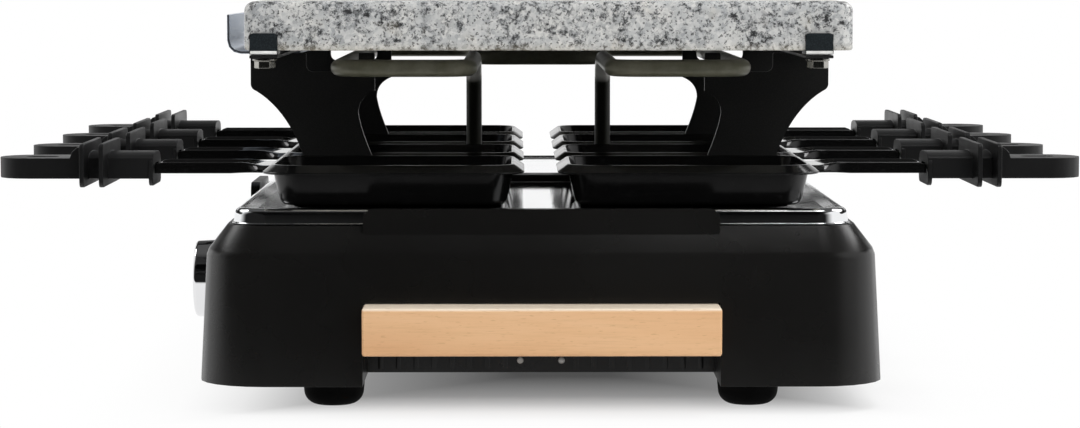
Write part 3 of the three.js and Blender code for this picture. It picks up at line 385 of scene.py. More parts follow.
def granite():
    """Salt-and-pepper granite: pale and grey crystals about a millimetre wide, with clustered black mica."""
    look = Look("granite", (0.5, 0.5, 0.49), 0.22, specular=0.4)
    shaken = look.node("ShaderNodeVectorMath", operation="MULTIPLY_ADD")
    look.join(look.noise(700).node.outputs["Color"], shaken.inputs[0])
    shaken.inputs[1].default_value = (CRYSTAL_JOG,) * 3
    look.join(look.place, shaken.inputs[2])
    at = shaken.outputs[0]
    cloud = look.ramp(look.noise(70, 4, 0.6), [
        (0.32, (0.38, 0.395, 0.405)), (0.5, (0.51, 0.515, 0.51)), (0.68, (0.63, 0.62, 0.59))])
    crystal = look.ramp(look.chance(620, 0, at), [
        (0, (0.24, 0.25, 0.255)), (0.25, (0.42, 0.43, 0.43)),
        (0.7, (0.58, 0.58, 0.565)), (1, (0.7, 0.69, 0.665))])
    ground = look.mixed(0.5, cloud, crystal)
    drift = look.mapped(look.noise(130, 3, 0.55), 0.35, 0.65, -0.06, 0.06)
    mica = look.math("ADD", look.noise(330, 5, 0.8, at), drift)
    greyed = look.mixed(look.ramp(mica, [(0.505, 0), (0.57, 0.75)]), ground, (0.12, 0.125, 0.13))
    black = look.mixed(look.ramp(mica, [(0.585, 0), (0.63, 0.92)]), greyed, (0.02, 0.02, 0.021))
    dust = look.ramp(look.chance(1500, 2, at), [(0.91, 0), (0.93, 0.75)])
    dusted = look.mixed(dust, black, (0.05, 0.05, 0.052))
    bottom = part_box("stone_plate")[0][2]
    sandy = look.mapped(look.axes(look.place)[2], bottom, bottom + SAND_HEIGHT, 0.4, 0)
    stained = look.mixed(look.math("MULTIPLY", sandy, look.noise(30, 2)), dusted, (0.62, 0.54, 0.36))
    rust = look.ramp(look.noise(80, 3), [(0.6, 0), (0.78, 0.25)])
    look.color(look.mixed(rust, stained, (0.5, 0.43, 0.3)))
    look.roughness(look.noise(300, 3), 0.16, 0.34)
    look.bump(look.noise(900, 3), 0.05 * MM, 0.3)
    return look.material


def zinc():
    """Dull zinc plating on screw heads; the same pale grey on the clips' bends is a painted reflection of the
    floor.
    """
    look = Look("zinc", (0.78, 0.78, 0.76), 0.38)
    look.color(look.ramp(look.noise(260, 4), [(0.3, (0.68, 0.68, 0.66)), (0.7, (0.88, 0.88, 0.86))]))
    look.roughness(look.noise(120, 3), 0.3, 0.48)
    look.bump(look.noise(700, 2), 0.04 * MM, 0.3)
    return look.material


def rubber():
    look = Look("rubber", (0.002, 0.002, 0.002), 0.75, specular=0.08)
    look.roughness(look.noise(90, 4), 0.65, 0.85)
    tone = look.ramp(look.noise(160, 4), [(0.5, 0), (0.8, 1)])
    look.color(look.mixed(tone, (0.0015, 0.0015, 0.0015), (0.0035, 0.0035, 0.0035)))
    look.bump(look.noise(900, 2), 0.08 * MM, 0.4)
    return look.material


def ceramic():
    look = Look("ceramic", (0.62, 0.58, 0.5), 0.7)
    look.color(look.ramp(look.noise(200, 4), [(0.3, (0.56, 0.52, 0.44)), (0.7, (0.68, 0.64, 0.57))]))
    look.bump(look.noise(1200, 2), 0.06 * MM, 0.4)
    return look.material


def lens():
    look = Look("lens", (0.55, 0.07, 0.012), 0.12, clear=0.35)
    look.color(look.ramp(look.cells(900).outputs["Distance"], [
        (0, (0.7, 0.12, 0.02)), (0.8, (0.42, 0.04, 0.01))]))
    look.roughness(look.noise(100, 2), 0.08, 0.16)
    return look.material


HOUSING = plastic("housing_black", (0.0078, 0.0075, 0.0071), 0.26, 2600)
HANDLE = plastic("handle_black", (0.0085, 0.0085, 0.0088), 0.42, 1900)
PAN = enamel("pan_black", 0.15)
ARM = enamel("arm_black", 0.07)
POWDER = powder("powder_black", (0.015, 0.015, 0.0147), 0.36)
# The clips' blue-black is a painted dark reflection: the colour polished steel takes from the dark room in
# front.
CLIP_DARK_REFLECTION = powder("clip_painted_dark_reflection", (0.018, 0.023, 0.026), 0.2)
DECK = steel("polished_steel", (0.86, 0.87, 0.88), 0.07)
KNOB = steel("knob_metal", (0.8, 0.8, 0.81), 0.05, (900, 60, 900))
GUARD = steel("guard_steel", (0.76, 0.83, 0.94), 0.3, (900, 60, 900), 0.3)
BOLT = steel("bolt_steel", (0.42, 0.41, 0.38), 0.24, (900, 900, 60), 0.3)
BEECH = beech()
GRANITE = granite()
ZINC_AND_BEND_GLINT = zinc()
RUBBER = rubber()
CERAMIC = ceramic()
LENS = lens()

# Pieces

WELD = 1e-6
FLAT = math.radians(0.6)
EDGE_ANGLE = math.radians(32)
SHARP_ANGLE = math.radians(48)


def finish_mesh(name, shape, material, body, nodes):
    """Makes the object of a piece from its bmesh, shades it, rides it on its body and hides the nodes it
    stands for.
    """
    mesh = bpy.data.meshes.new(name)
    bmesh.ops.recalc_face_normals(shape, faces=shape.faces)
    shape.to_mesh(mesh)
    shape.free()
    mesh.polygons.foreach_set("use_smooth", [True] * len(mesh.polygons))
    mesh.set_sharp_from_angle(angle=SHARP_ANGLE)
    mesh.materials.append(material)
    piece = placed(name, mesh)
    even = piece.modifiers.new("even", "WEIGHTED_NORMAL")
    even.keep_sharp = True
    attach(piece, body)
    if nodes:
        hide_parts(*nodes)


def body_of(node):
    return next(body for body, names in frame["record"]["behaviour"]["bodies"].items() if node in names)


def rounded(shape, edges, width, segments, clamped=True):
    bmesh.ops.bevel(shape, geom=edges, offset=width, segments=segments, profile=0.5, affect="EDGES",
                    clamp_overlap=clamped)


def softened(node, material, width, segments):
    """A copy of a CAD node whose hard edges are rounded, in place of the node."""
    shape = bmesh.new()
    shape.from_mesh(frame["nodes"][node].data)
    bmesh.ops.remove_doubles(shape, verts=shape.verts, dist=WELD)
    bmesh.ops.dissolve_limit(shape, angle_limit=FLAT, verts=shape.verts, edges=shape.edges)
    hard = [edge for edge in shape.edges
            if len(edge.link_faces) == 2 and edge.calc_face_angle(0) > EDGE_ANGLE]
    rounded(shape, hard, width, segments)
    finish_mesh(node + "_skin", shape, material, body_of(node), [node])


def dressed(node, material):
    """A CAD node that stays as it is, with its finish."""
    slots = frame["nodes"][node].data.materials
    slots.clear()
    slots.append(material)


def halves(node):
    """Half sizes and middle of a node's box."""
    low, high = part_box(node)
    return [(b - a) / 2 for a, b in zip(low, high)], [(b + a) / 2 for a, b in zip(low, high)]


def outward(node, axis):
    """How near and how far from the middle a node reaches along an axis."""
    return sorted(abs(corner[axis]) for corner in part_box(node))


def rectangle(left, right, bottom, top):
    return [(left, bottom), (right, bottom), (right, top), (left, top)]


def arc(before, corner, after, radius, steps):
    """Points of the arc that rounds the corner of a path, level or in space."""
    back = (before - corner).normalized()
    ahead = (after - corner).normalized()
    half = back.angle(ahead) / 2
    centre = corner + (back + ahead).normalized() * radius / math.sin(half)
    start = corner + back * radius / math.tan(half) - centre
    end = corner + ahead * radius / math.tan(half) - centre
    turn = start.angle(end)
    points = []
    for step in range(steps + 1):
        share = step / steps
        arm = start * math.sin((1 - share) * turn) + end * math.sin(share * turn)
        points.append(centre + arm / math.sin(turn))
    return points


def filleted(corners, steps):
    """An outline through corners (u, v, radius) in order, each rounded by an arc; the ends have no radius."""
    points = []
    for i, (u, v, radius) in enumerate(corners):
        if radius:
            before = Vector(corners[i - 1][:2])
            after = Vector(corners[(i + 1) % len(corners)][:2])
            points += [tuple(point) for point in arc(before, Vector((u, v)), after, radius, steps)]
        else:
            points.append((u, v))
    return points


def smooth(share):
    """A soft step from 0 to 1."""
    return 3 * share ** 2 - 2 * share ** 3


def rounded_ring(half_x, half_y, radius, z, middle, steps):
    """Points of a level rounded rectangle."""
    points = []
    for corner, (sx, sy) in enumerate(((1, 1), (-1, 1), (-1, -1), (1, -1))):
        centre = (middle[0] + sx * (half_x - radius), middle[1] + sy * (half_y - radius))
        for step in range(steps + 1):
            angle = (corner + step / steps) * math.pi / 2
            points.append((centre[0] + radius * math.cos(angle), centre[1] + radius * math.sin(angle), z))
    return points


def lofted(rings, shape=None):
    """A bmesh skinned over rings of like count, with both ends closed."""
    shape = shape or bmesh.new()
    rows = [[shape.verts.new(point) for point in ring] for ring in rings]
    count = len(rings[0])
    for low, high in zip(rows, rows[1:]):
        for i in range(count):
            j = (i + 1) % count
            shape.faces.new((low[i], low[j], high[j], high[i]))
    shape.faces.new(list(reversed(rows[0])))
    shape.faces.new(rows[-1])
    return shape


def plan_loft(profile, half, middle, corner, least, steps, base=0):
    """A body of rounded rectangles: a profile of (inset, height) pairs taken round a plan."""
    rings = []
    for inset, z in profile:
        radius = max(corner - inset, least)
        rings.append(rounded_ring(half[0] - inset, half[1] - inset, radius, base + z, middle, steps))
    return lofted(rings)


def turned(profile, sides, at, shape=None):
    """A body turned from (radius, height) pairs; at gives the place of (u, v, height)."""
    angles = [2 * math.pi * k / sides for k in range(sides)]
    return lofted([[at(radius * math.cos(a), radius * math.sin(a), height) for a in angles]
                   for radius, height in profile], shape)


# Pan trays

TRAY_CORNER = 16 * MM
TRAY_SHEET = 1.2 * MM
TRAY_REACH = 4.4 * MM  # of the sloping brim from the wall
TRAY_DROP = 3.1 * MM  # of the brim's edge below its crest
TRAY_TAPER = 2.7 * MM  # of the wall from neck to floor
TRAY_FLOOR = 3 * MM  # radius between wall and floor
TRAY_MIDDLE = 20 * MM  # inset of the flat floor's inner ring
TRAY_EDGE = 0.5 * MM
TRAY_CREST = 1.1 * MM
TRAY_STEPS = (5, 9)  # of its fillets and of its corners


def make_tray(pan):
    low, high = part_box(pan + "_tray")
    half, middle = halves(pan + "_tray")
    height = high[2] - low[2]
    slant = math.hypot(TRAY_REACH, TRAY_DROP)
    edge = height - TRAY_DROP
    neck = height - TRAY_SHEET * slant / TRAY_REACH
    foot = TRAY_REACH + TRAY_TAPER * neck / (neck - TRAY_FLOOR)
    profile = filleted([
        (TRAY_MIDDLE, 0, 0),
        (foot, 0, TRAY_FLOOR),
        (TRAY_REACH, neck, 0.5 * TRAY_EDGE),
        (TRAY_SHEET * TRAY_DROP / slant, edge - TRAY_SHEET * TRAY_REACH / slant, TRAY_EDGE),
        (0, edge, TRAY_EDGE),
        (TRAY_REACH, height, TRAY_CREST),
        (TRAY_REACH + TRAY_SHEET, height, TRAY_EDGE),
        (foot + TRAY_SHEET, TRAY_SHEET, TRAY_FLOOR - TRAY_SHEET),
        (TRAY_MIDDLE, TRAY_SHEET, 0)], TRAY_STEPS[0])
    shape = plan_loft(profile, half, middle, TRAY_CORNER, TRAY_FLOOR, TRAY_STEPS[1], low[2])
    finish_mesh(pan + "_dish", shape, PAN, pan, [pan + "_tray"])


# Pan arms

ARM_HALF = 13 * MM
ARM_SHEET = 1.2 * MM
ARM_DROP = 1.1 * MM  # of its flat top below the crest of the brim
ARM_SKIRT = 3.6 * MM
ARM_SEAT = 0.7 * ARM_SHEET  # how far its skirt reaches below the brim's edge at its root
ARM_EDGE = 1.1 * MM
ARM_ROUND_SHARES = (0.55, 0.9)  # of that edge's width and height, taken by the rounding
ARM_ROUND_STEPS = 6
ARM_LEAN = 0.15 * MM  # how far its side leans in from the foot up
ARM_LEAN_SHARE = 0.25  # how far down the side that point lies
ARM_HEM = (0.2 * MM, 0.3 * MM)  # width and height of the chamfers along its foot
ARM_RIDGE = 1 * MM  # height of the ridges along its sides
ARM_RIDGE_RISE = 9 * MM  # length over which they rise out of the flare
ARM_RIDGE_END = 3 * MM  # length over which they sink at the end
ARM_TROUGH = 0.5 * MM  # depth of the trough between them
ARM_BANK = 2.6 * MM  # width of the trough's sloping sides
ARM_BANK_STEPS = 6
ARM_FLARE = 14 * MM
ARM_FLARE_TOP = 4.5 * MM
ARM_FLARE_FOOT = 9 * MM
ARM_FLARE_POWER = 2.4
ARM_ROOT = 3.4 * MM  # how far it runs in under the brim's crest
ARM_TONGUE = (6 * MM, 13 * MM)  # half width and length
ARM_TONGUE_INSET = 0.1 * MM  # from either face of the sheet
ARM_END = 1 * MM  # radius of its rounded end
ARM_NOSE_SHARE = 0.6  # of that rounding, taken by the top
ARM_STATIONS = (14, 3, 5)  # sections along the flare, the straight and the end
HANDLE_EDGE = 0.6 * MM


def arm_section(beyond, to_end, crest):
    """The arm's outline in (y, z) at a distance beyond the brim and before its outer end."""
    near = max(0, 1 - max(beyond, 0) / ARM_FLARE)
    flare = near ** ARM_FLARE_POWER
    end = max(0, 1 - to_end / ARM_END)
    shrink = ARM_END * (1 - math.sqrt(1 - end ** 2))
    top = crest - ARM_DROP - ARM_NOSE_SHARE * shrink
    shoulder = ARM_HALF - ARM_EDGE * (1 + near) + ARM_FLARE_TOP * flare - shrink
    side = ARM_HALF + ARM_FLARE_FOOT * flare - shrink
    foot = crest - ARM_DROP - ARM_SKIRT + (ARM_SKIRT + ARM_DROP - TRAY_DROP - ARM_SEAT) * near
    rise = min(1, max(0, beyond / ARM_RIDGE_RISE)) * min(1, max(0, to_end / ARM_RIDGE_END))
    crown = top + ARM_RIDGE * smooth(rise)
    dip = top - ARM_TROUGH * smooth(rise)
    bank = shoulder - ARM_BANK
    outer = [(0, dip), (0.5 * bank, dip)]
    for step in range(ARM_BANK_STEPS + 1):
        share = step / ARM_BANK_STEPS
        outer.append((bank + ARM_BANK * share, dip + (crown - dip) * smooth(share)))
    across, down = ARM_ROUND_SHARES
    for step in range(1, ARM_ROUND_STEPS):
        angle = step / ARM_ROUND_STEPS * math.pi / 2
        outer.append((shoulder + (side - shoulder) * math.sin(angle) * across,
                      crown - ARM_EDGE * (1 - math.cos(angle)) * down))
    edge = top - ARM_EDGE
    hem, lift = ARM_HEM
    upper = edge - ARM_LEAN_SHARE * (edge - foot)
    outer += [(side - ARM_LEAN, upper), (side, foot + lift), (side - hem, foot)]
    lining = side - ARM_SHEET
    inner = [(lining + hem, foot), (lining, foot + lift), (min(shoulder, lining - hem), crown - ARM_SHEET),
             (bank, dip - ARM_SHEET), (0.5 * bank, dip - ARM_SHEET), (0, dip - ARM_SHEET)]
    right = outer + inner
    left = [(-y, z) for y, z in reversed(right[1:-1])]
    return right + left


def make_arm(pan, sign):
    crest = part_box(pan + "_tray")[1][2]
    row = halves(pan + "_tray")[1][1]
    brim = outward(pan + "_tray", 0)[1]
    tip = outward(pan + "_arm", 0)[1]
    end = tip - ARM_TONGUE[1]
    straight = end - brim
    middle = straight - ARM_FLARE - ARM_RIDGE_END
    flared, plain, ended = ARM_STATIONS
    stops = [-ARM_ROOT, 0]
    stops += [ARM_FLARE * step / flared for step in range(1, flared + 1)]
    stops += [ARM_FLARE + middle * step / plain for step in range(1, plain + 1)]
    stops += [straight - ARM_END * (1 - step / ended) for step in range(ended + 1)]
    rings = []
    for stop in stops:
        section = arm_section(stop, straight - stop, crest)
        rings.append([(sign * (brim + stop), row + sign * y, z) for y, z in section])
    shape = lofted(rings)
    top = crest - ARM_DROP - ARM_TONGUE_INSET
    low = crest - ARM_DROP - ARM_SHEET + ARM_TONGUE_INSET
    tongue = rectangle(-ARM_TONGUE[0], ARM_TONGUE[0], low, top)
    lofted([[(sign * x, row + y, z) for y, z in tongue] for x in (end - ARM_END, tip)], shape)
    finish_mesh(pan + "_channel", shape, ARM, pan, [pan + "_arm"])


for pan, sign in PANS:
    make_tray(pan)
    make_arm(pan, sign)
    softened(pan + "_handle", HANDLE, HANDLE_EDGE, 3)

# Stone plate

STONE_CORNER = 6 * MM
STONE_TOP = 4 * MM
STONE_BOTTOM = 1.2 * MM
STONE_MIDDLE = 30 * MM  # inset of its inmost rings
STONE_STEPS = 8


def make_stone():
    low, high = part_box("stone_plate")
    half, middle = halves("stone_plate")
    height = high[2] - low[2]
    profile = filleted([
        (STONE_MIDDLE, 0, 0),
        (0, 0, STONE_BOTTOM),
        (0, height, STONE_TOP),
        (STONE_MIDDLE, height, 0)], STONE_STEPS)
    shape = plan_loft(profile, half, middle, STONE_CORNER, STONE_CORNER, STONE_STEPS, low[2])
    finish_mesh("stone_slab", shape, GRANITE, "stone", ["stone_plate"])


make_stone()

# Deck tray: a mirror sheet with a rolled edge, and low beads that carry the pans

DECK_CORNER = 15 * MM
DECK_INNER_CORNER = 3 * MM
DECK_SHEET = 0.8 * MM
DECK_MIDDLE = 30 * MM  # inset of its inmost rings
DECK_EDGE_TOP = 6 * MM  # inset of the inner edge of its flat rim
DECK_EDGE_STEP = 0.6 * MM  # from that rim down to the field
DECK_SLOPE = 5 * MM  # width of that step
DECK_CREASE = 0.6 * MM
DECK_WALL = (0.8 * MM, 1.5 * MM)  # inset of its outer wall at the hem and at the top
DECK_ROLL = 3 * MM  # radius of the wall's rolled top
DECK_LINING = (1.6 * MM, 3 * MM)  # inset of the wall's inner face at the foot and at the top
DECK_LINING_ROLL = 1 * MM
DECK_HEM = 0.5 * MM  # height of the thin hem round its foot
DECK_STEPS = (5, 14)  # of its fillets and of its corners
BEAD_HALF_LENGTH = 42 * MM
BEAD_HALF_WIDTH = 2.5 * MM
BEAD_OFFSET = 18 * MM
BEAD_HEIGHT = 0.6 * MM
BEAD_ROOT = 0.05 * MM  # down into the field
BEAD_SLOPE_SHARE = 0.8  # of its half width that its round side takes
BEAD_ROUND_SHARE = 0.98  # of its half width that its ends' radius takes
BEAD_STEPS = 4


def make_deck():
    low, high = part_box("deck_tray")
    half, middle = halves("deck_tray")
    height = high[2] - low[2]
    field = height - DECK_EDGE_STEP
    step = DECK_EDGE_TOP + DECK_SLOPE
    profile = filleted([
        (DECK_MIDDLE, field - DECK_SHEET, 0),
        (step, field - DECK_SHEET, 0.5 * DECK_CREASE),
        (DECK_EDGE_TOP, height - DECK_SHEET, 0.5 * DECK_CREASE),
        (DECK_LINING[1], height - DECK_SHEET, DECK_LINING_ROLL),
        (DECK_LINING[0], 0, 0.2 * DECK_HEM),
        (0, 0, 0.4 * DECK_HEM),
        (0, DECK_HEM, 0.7 * DECK_HEM),
        (DECK_WALL[0], DECK_HEM, 0.5 * DECK_HEM),
        (DECK_WALL[1], height, DECK_ROLL),
        (DECK_EDGE_TOP, height, DECK_CREASE),
        (step, field, DECK_CREASE),
        (DECK_MIDDLE, field, 0)], DECK_STEPS[0])
    shape = plan_loft(profile, half, middle, DECK_CORNER, DECK_INNER_CORNER, DECK_STEPS[1], low[2])
    finish_mesh("deck_sheet", shape, DECK, "root", ["deck_tray"])
    return low[2] + field


def make_beads(field):
    """Low pressed beads under each pan."""
    shape = bmesh.new()
    for pan, _ in PANS:
        _, middle = halves(pan + "_tray")
        for side in (-1, 1):
            place = (middle[0], middle[1] + side * BEAD_OFFSET)
            rings = []
            for step in range(BEAD_STEPS + 1):
                angle = step / BEAD_STEPS * math.pi / 2
                spread = BEAD_HALF_WIDTH * (1 - math.cos(angle)) * BEAD_SLOPE_SHARE
                length, width = BEAD_HALF_LENGTH - spread, BEAD_HALF_WIDTH - spread
                z = field - BEAD_ROOT + BEAD_HEIGHT * math.sin(angle)
                rings.append(rounded_ring(length, width, BEAD_ROUND_SHARE * width, z, place, BEAD_STEPS))
            lofted(rings, shape)
    finish_mesh("deck_beads", shape, DECK, "root", [])


deck_field = make_deck()
make_beads(deck_field)

# Heater element: one bent tube on two legs

HEATER_RADIUS = 3.6 * MM
HEATER_BEND = 12 * MM
HEATER_BEND_STEPS = 8
HEATER_CROSS = 13 * MM  # Y of the run that joins the two loops
HEATER_INNER = 30 * MM  # X of the inner runs and the legs
HEATER_SIDES = 20
ELBOW_DROP_SHARE = 0.3  # of the bend: how far down the painted highlight lies


def bent(corners, radius, steps):
    """A path through corners in space, each turned at one radius."""
    points = [corners[0]]
    for before, corner, after in zip(corners, corners[1:], corners[2:]):
        points += arc(before, corner, after, radius, steps)
    points.append(corners[-1])
    return points


def tube_rings(points, radius, sides):
    """Rings round a path, carried along it without twist."""
    angles = [2 * math.pi * k / sides for k in range(sides)]
    rings = []
    side = Vector((0, 1, 0))
    for i, point in enumerate(points):
        ahead = (points[min(i + 1, len(points) - 1)] - points[max(i - 1, 0)]).normalized()
        side = (side - ahead * side.dot(ahead)).normalized()
        other = ahead.cross(side)
        rings.append([point + (side * math.cos(a) + other * math.sin(a)) * radius for a in angles])
    return rings


def make_heater():
    low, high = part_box("heater_element")
    level = high[2] - HEATER_RADIUS
    outer = high[0] - HEATER_RADIUS
    end = high[1] - HEATER_RADIUS
    inner = HEATER_INNER
    half = [(inner, HEATER_CROSS, level), (inner, end, level), (outer, end, level), (outer, -end, level),
            (inner, -end, level), (inner, 0, level), (inner, 0, low[2])]
    path = [Vector((-x, y, z)) for x, y, z in reversed(half)] + [Vector(corner) for corner in half]
    shape = lofted(tube_rings(bent(path, HEATER_BEND, HEATER_BEND_STEPS), HEATER_RADIUS, HEATER_SIDES))
    steel_look = heater_tube(inner, level - ELBOW_DROP_SHARE * HEATER_BEND)
    finish_mesh("heater_tube", shape, steel_look, "root", ["heater_element"])


make_heater()

# Uprights: bent sheet plates with a notch for the heater

UPRIGHT_SHEET = 2 * MM
UPRIGHT_EDGE = 0.35 * MM
UPRIGHT_FOOT = 30 * MM  # width of the straight foot
UPRIGHT_TAB = 1.5 * MM  # of the tab above the top edge
UPRIGHT_COLLAR = 15.4 * MM
UPRIGHT_COLLAR_ROUND = 3 * MM
UPRIGHT_CORNER = 1 * MM  # of its outer top corner
UPRIGHT_LIP = 0.6 * MM  # of the other top corners
UPRIGHT_HOOK = (2.2 * MM, 45.3 * MM)  # from the foot's inner edge, and up
UPRIGHT_NECK = (9.5 * MM, 35.5 * MM)
UPRIGHT_ANKLE = (3.6 * MM, 17 * MM)
UPRIGHT_ANKLE_SHARES = (0.2, 0.4)  # of the way from neck to ankle
UPRIGHT_BOW_SHARES = ((0.094, 0.476), (0.49, 0.86))  # of the way from the foot to the collar
UPRIGHT_STEPS = (16, 10, 8)  # of the bow, of the curve above the neck and of the one below it
UPRIGHT_FILLET_STEPS = 5
NOTCH_SIDES = (9.2 * MM, 32.2 * MM)  # from the foot's inner edge
NOTCH_DEPTH = 8.3 * MM
NOTCH_CORNER = 3 * MM
FLANGE = (7.5 * MM, 1.5 * MM)  # depth and sheet
TAB_HALF = 3 * MM
TAB_OUT = 13.8 * MM  # of its middle from the plate's outer edge
RIM_ANGLE = math.radians(60)  # edges bent more than this are rounded


def curve(controls, steps):
    """Points after the first on a Bezier curve of any order."""
    points = []
    for step in range(1, steps + 1):
        share = step / steps
        row = [Vector(point) for point in controls]
        while len(row) > 1:
            row = [a.lerp(b, share) for a, b in zip(row, row[1:])]
        points.append(tuple(row[0]))
    return points


def upright_outline(inner, outer, low, top):
    """The plate's outline in (distance from the middle, height)."""
    collar = top - UPRIGHT_COLLAR
    foot = inner + UPRIGHT_FOOT
    hook, neck, ankle = [(inner + u, low + v) for u, v in (UPRIGHT_HOOK, UPRIGHT_NECK, UPRIGHT_ANKLE)]
    bow = [(foot + u * (outer - foot), low + v * (collar - low)) for u, v in UPRIGHT_BOW_SHARES]
    near, far = [inner + side for side in NOTCH_SIDES]
    floor = top - NOTCH_DEPTH
    bow_steps, hook_steps, ankle_steps = UPRIGHT_STEPS
    rise = curve([(foot, low), *bow, (outer, collar)], bow_steps)
    points = [(inner, low), (foot, low), *rise[:-2]]
    points += filleted([
        (*rise[-2], 0),
        (outer, collar, UPRIGHT_COLLAR_ROUND),
        (outer, top, UPRIGHT_CORNER),
        (far, top, UPRIGHT_LIP),
        (far, floor, NOTCH_CORNER),
        (near, floor, NOTCH_CORNER),
        (near, top, UPRIGHT_LIP),
        (hook[0], top, UPRIGHT_LIP),
        (*hook, 0)], UPRIGHT_FILLET_STEPS)
    points += curve([hook, (neck[0], (hook[1] + neck[1]) / 2 + UPRIGHT_SHEET), neck], hook_steps)
    aside, down = UPRIGHT_ANKLE_SHARES
    between = (neck[0] + aside * (ankle[0] - neck[0]), neck[1] + down * (ankle[1] - neck[1]))
    return points + curve([neck, between, ankle], ankle_steps)


def make_upright(quarter_name, side, end):
    node = "upright_" + quarter_name
    low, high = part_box(node)
    inner, outer = outward(node, 0)
    back = outward(node, 1)[1]
    front = back - UPRIGHT_SHEET
    top = high[2] - UPRIGHT_TAB
    shape = bmesh.new()

    def slab(outline, from_y, to_y):
        lofted([[(side * x, end * y, z) for x, z in outline] for y in (from_y, to_y)], shape)

    slab(upright_outline(inner, outer, low[2], top), front, back)
    rims = [edge for edge in shape.edges if edge.calc_length() and edge.calc_face_angle(0) > RIM_ANGLE
            and abs(edge.verts[0].co.y - edge.verts[1].co.y) < WELD]
    rounded(shape, rims, UPRIGHT_EDGE, 2)
    depth, sheet = FLANGE
    flange = rectangle(inner, inner + UPRIGHT_FOOT, low[2], low[2] + sheet)
    slab(flange, front - depth, front + UPRIGHT_EDGE)
    middle = outer - TAB_OUT
    tab = rectangle(middle - TAB_HALF, middle + TAB_HALF, top - UPRIGHT_SHEET, high[2])
    slab(tab, front + UPRIGHT_EDGE, back - UPRIGHT_EDGE)
    finish_mesh("upright_plate_" + quarter_name, shape, POWDER, "root", [node])


for quarter in QUARTERS:
    make_upright(*quarter)

# Stone clips: bent sheet with rounded corners, coloured blue-black as a painted dark reflection, with a pale
# strip round the bend as a painted reflection of the floor

CLIP_PLATE = 1.6 * MM
CLIP_FOOT = 1.3 * MM
CLIP_FOOT_LENGTH = 1 * MM  # of the first straight before the bend
CLIP_BEND = 1.5 * MM
CLIP_CORNER = 1.6 * MM
CLIP_EDGE = 0.3 * MM
CLIP_STEPS = 4
STRIP_PROUD = 0.05 * MM  # of the pale strip round the bend, a painted reflection
STRIP_LENGTH = 2 * MM
STRIP_DEPTH = 0.4 * MM
STRIP_STEPS = 5


def make_clip(quarter_name, end):
    node = "stone_clip_" + quarter_name
    low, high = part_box(node)
    bottom, top = low[2], high[2]
    inner, outer = outward(node, 1)

    def along_x(section, inset):
        """A section in (y, z), run along X."""
        return lofted([[(x, end * y, z) for y, z in section] for x in (low[0] + inset, high[0] - inset)])

    section = filleted([
        (outer - CLIP_BEND - CLIP_FOOT_LENGTH, bottom, 0),
        (outer, bottom, CLIP_BEND),
        (outer, top, CLIP_EDGE),
        (outer - CLIP_PLATE, top, CLIP_EDGE),
        (outer - CLIP_PLATE, bottom + CLIP_FOOT, CLIP_EDGE),
        (inner, bottom + CLIP_FOOT, 0)], CLIP_STEPS)
    shape = along_x([*section, (inner, bottom)], 0)
    crown = [edge for edge in shape.edges if abs(edge.verts[0].co.x - edge.verts[1].co.x) < WELD
             and min(vertex.co.z for vertex in edge.verts) > top - 1.2 * CLIP_EDGE]
    rounded(shape, crown, CLIP_CORNER, CLIP_STEPS, clamped=False)
    finish_mesh(node + "_sheet", shape, CLIP_DARK_REFLECTION, "root", [node])
    # A pale strip round the bend: a painted reflection of the floor in the bent sheet.
    face, sole = outer + STRIP_PROUD, bottom - STRIP_PROUD
    strip = filleted([
        (outer - STRIP_LENGTH, sole, 0),
        (face, sole, CLIP_BEND),
        (face, bottom + CLIP_BEND, 0),
        (outer - STRIP_DEPTH, bottom + CLIP_BEND, 0),
        (outer - STRIP_LENGTH, bottom + STRIP_DEPTH, 0)], STRIP_STEPS)
    finish_mesh(node + "_bend", along_x(strip, CLIP_EDGE), ZINC_AND_BEND_GLINT, "root", [])


for quarter_name, _, end in QUARTERS:
    make_clip(quarter_name, end)

# Ribs and two small screws on the back wall of each finger recess

RECESS_BACK = 149.1 * MM  # Y of that wall
RECESS_HALF = 68 * MM
RECESS_Z = (13 * MM, 43 * MM)
RECESS_ROOT = 0.3 * MM  # how far ribs and screws reach into the wall
RIB_PITCH = 7.5 * MM
RIB_HALF = 1.1 * MM
RIB_PROUD = 0.9 * MM
RIB_SHOULDER = 0.54 * MM  # how far out its sides stay straight
SCREW_X = 8.7 * MM
SCREW_Z = 16.4 * MM
SCREW_RADIUS = 1.4 * MM
SCREW_DOME = 0.9 * MM
SCREW_SIDES = 18
SCREW_STEPS = 5


def make_ribs(end_name, end):
    """The ribs of one recess; the middle three are left out for the screws."""
    shape = bmesh.new()
    low, high = RECESS_Z
    count = int(RECESS_HALF / RIB_PITCH)
    for rib in range(-count, count + 1):
        if abs(rib) > 1:
            rings = []
            for proud, narrow in ((-RECESS_ROOT, 0), (RIB_SHOULDER, 0), (RIB_PROUD, 0.5 * RIB_HALF)):
                left, right = [rib * RIB_PITCH + side * (RIB_HALF - narrow) for side in (-1, 1)]
                corners = rectangle(left, right, low + narrow, high - narrow)
                rings.append([(x, end * (RECESS_BACK + proud), z) for x, z in corners])
            lofted(rings, shape)
    finish_mesh(f"recess_ribs_{end_name}", shape, HOUSING, "root", [])


def make_screws(end_name, end):
    shape = bmesh.new()
    profile = [(SCREW_RADIUS, -RECESS_ROOT)]
    for step in range(SCREW_STEPS):
        angle = step / SCREW_STEPS * math.pi / 2
        profile.append((SCREW_RADIUS * math.cos(angle), SCREW_DOME * math.sin(angle)))
    for x in (-SCREW_X, SCREW_X):
        turned(profile, SCREW_SIDES, lambda u, v, w: (x + u, end * (RECESS_BACK + w), SCREW_Z + v), shape)
    finish_mesh(f"recess_screws_{end_name}", shape, ZINC_AND_BEND_GLINT, "root", [])


for end_name, end in ENDS:
    make_ribs(end_name, end)
    make_screws(end_name, end)

# Turned pieces: rubber feet and the knob

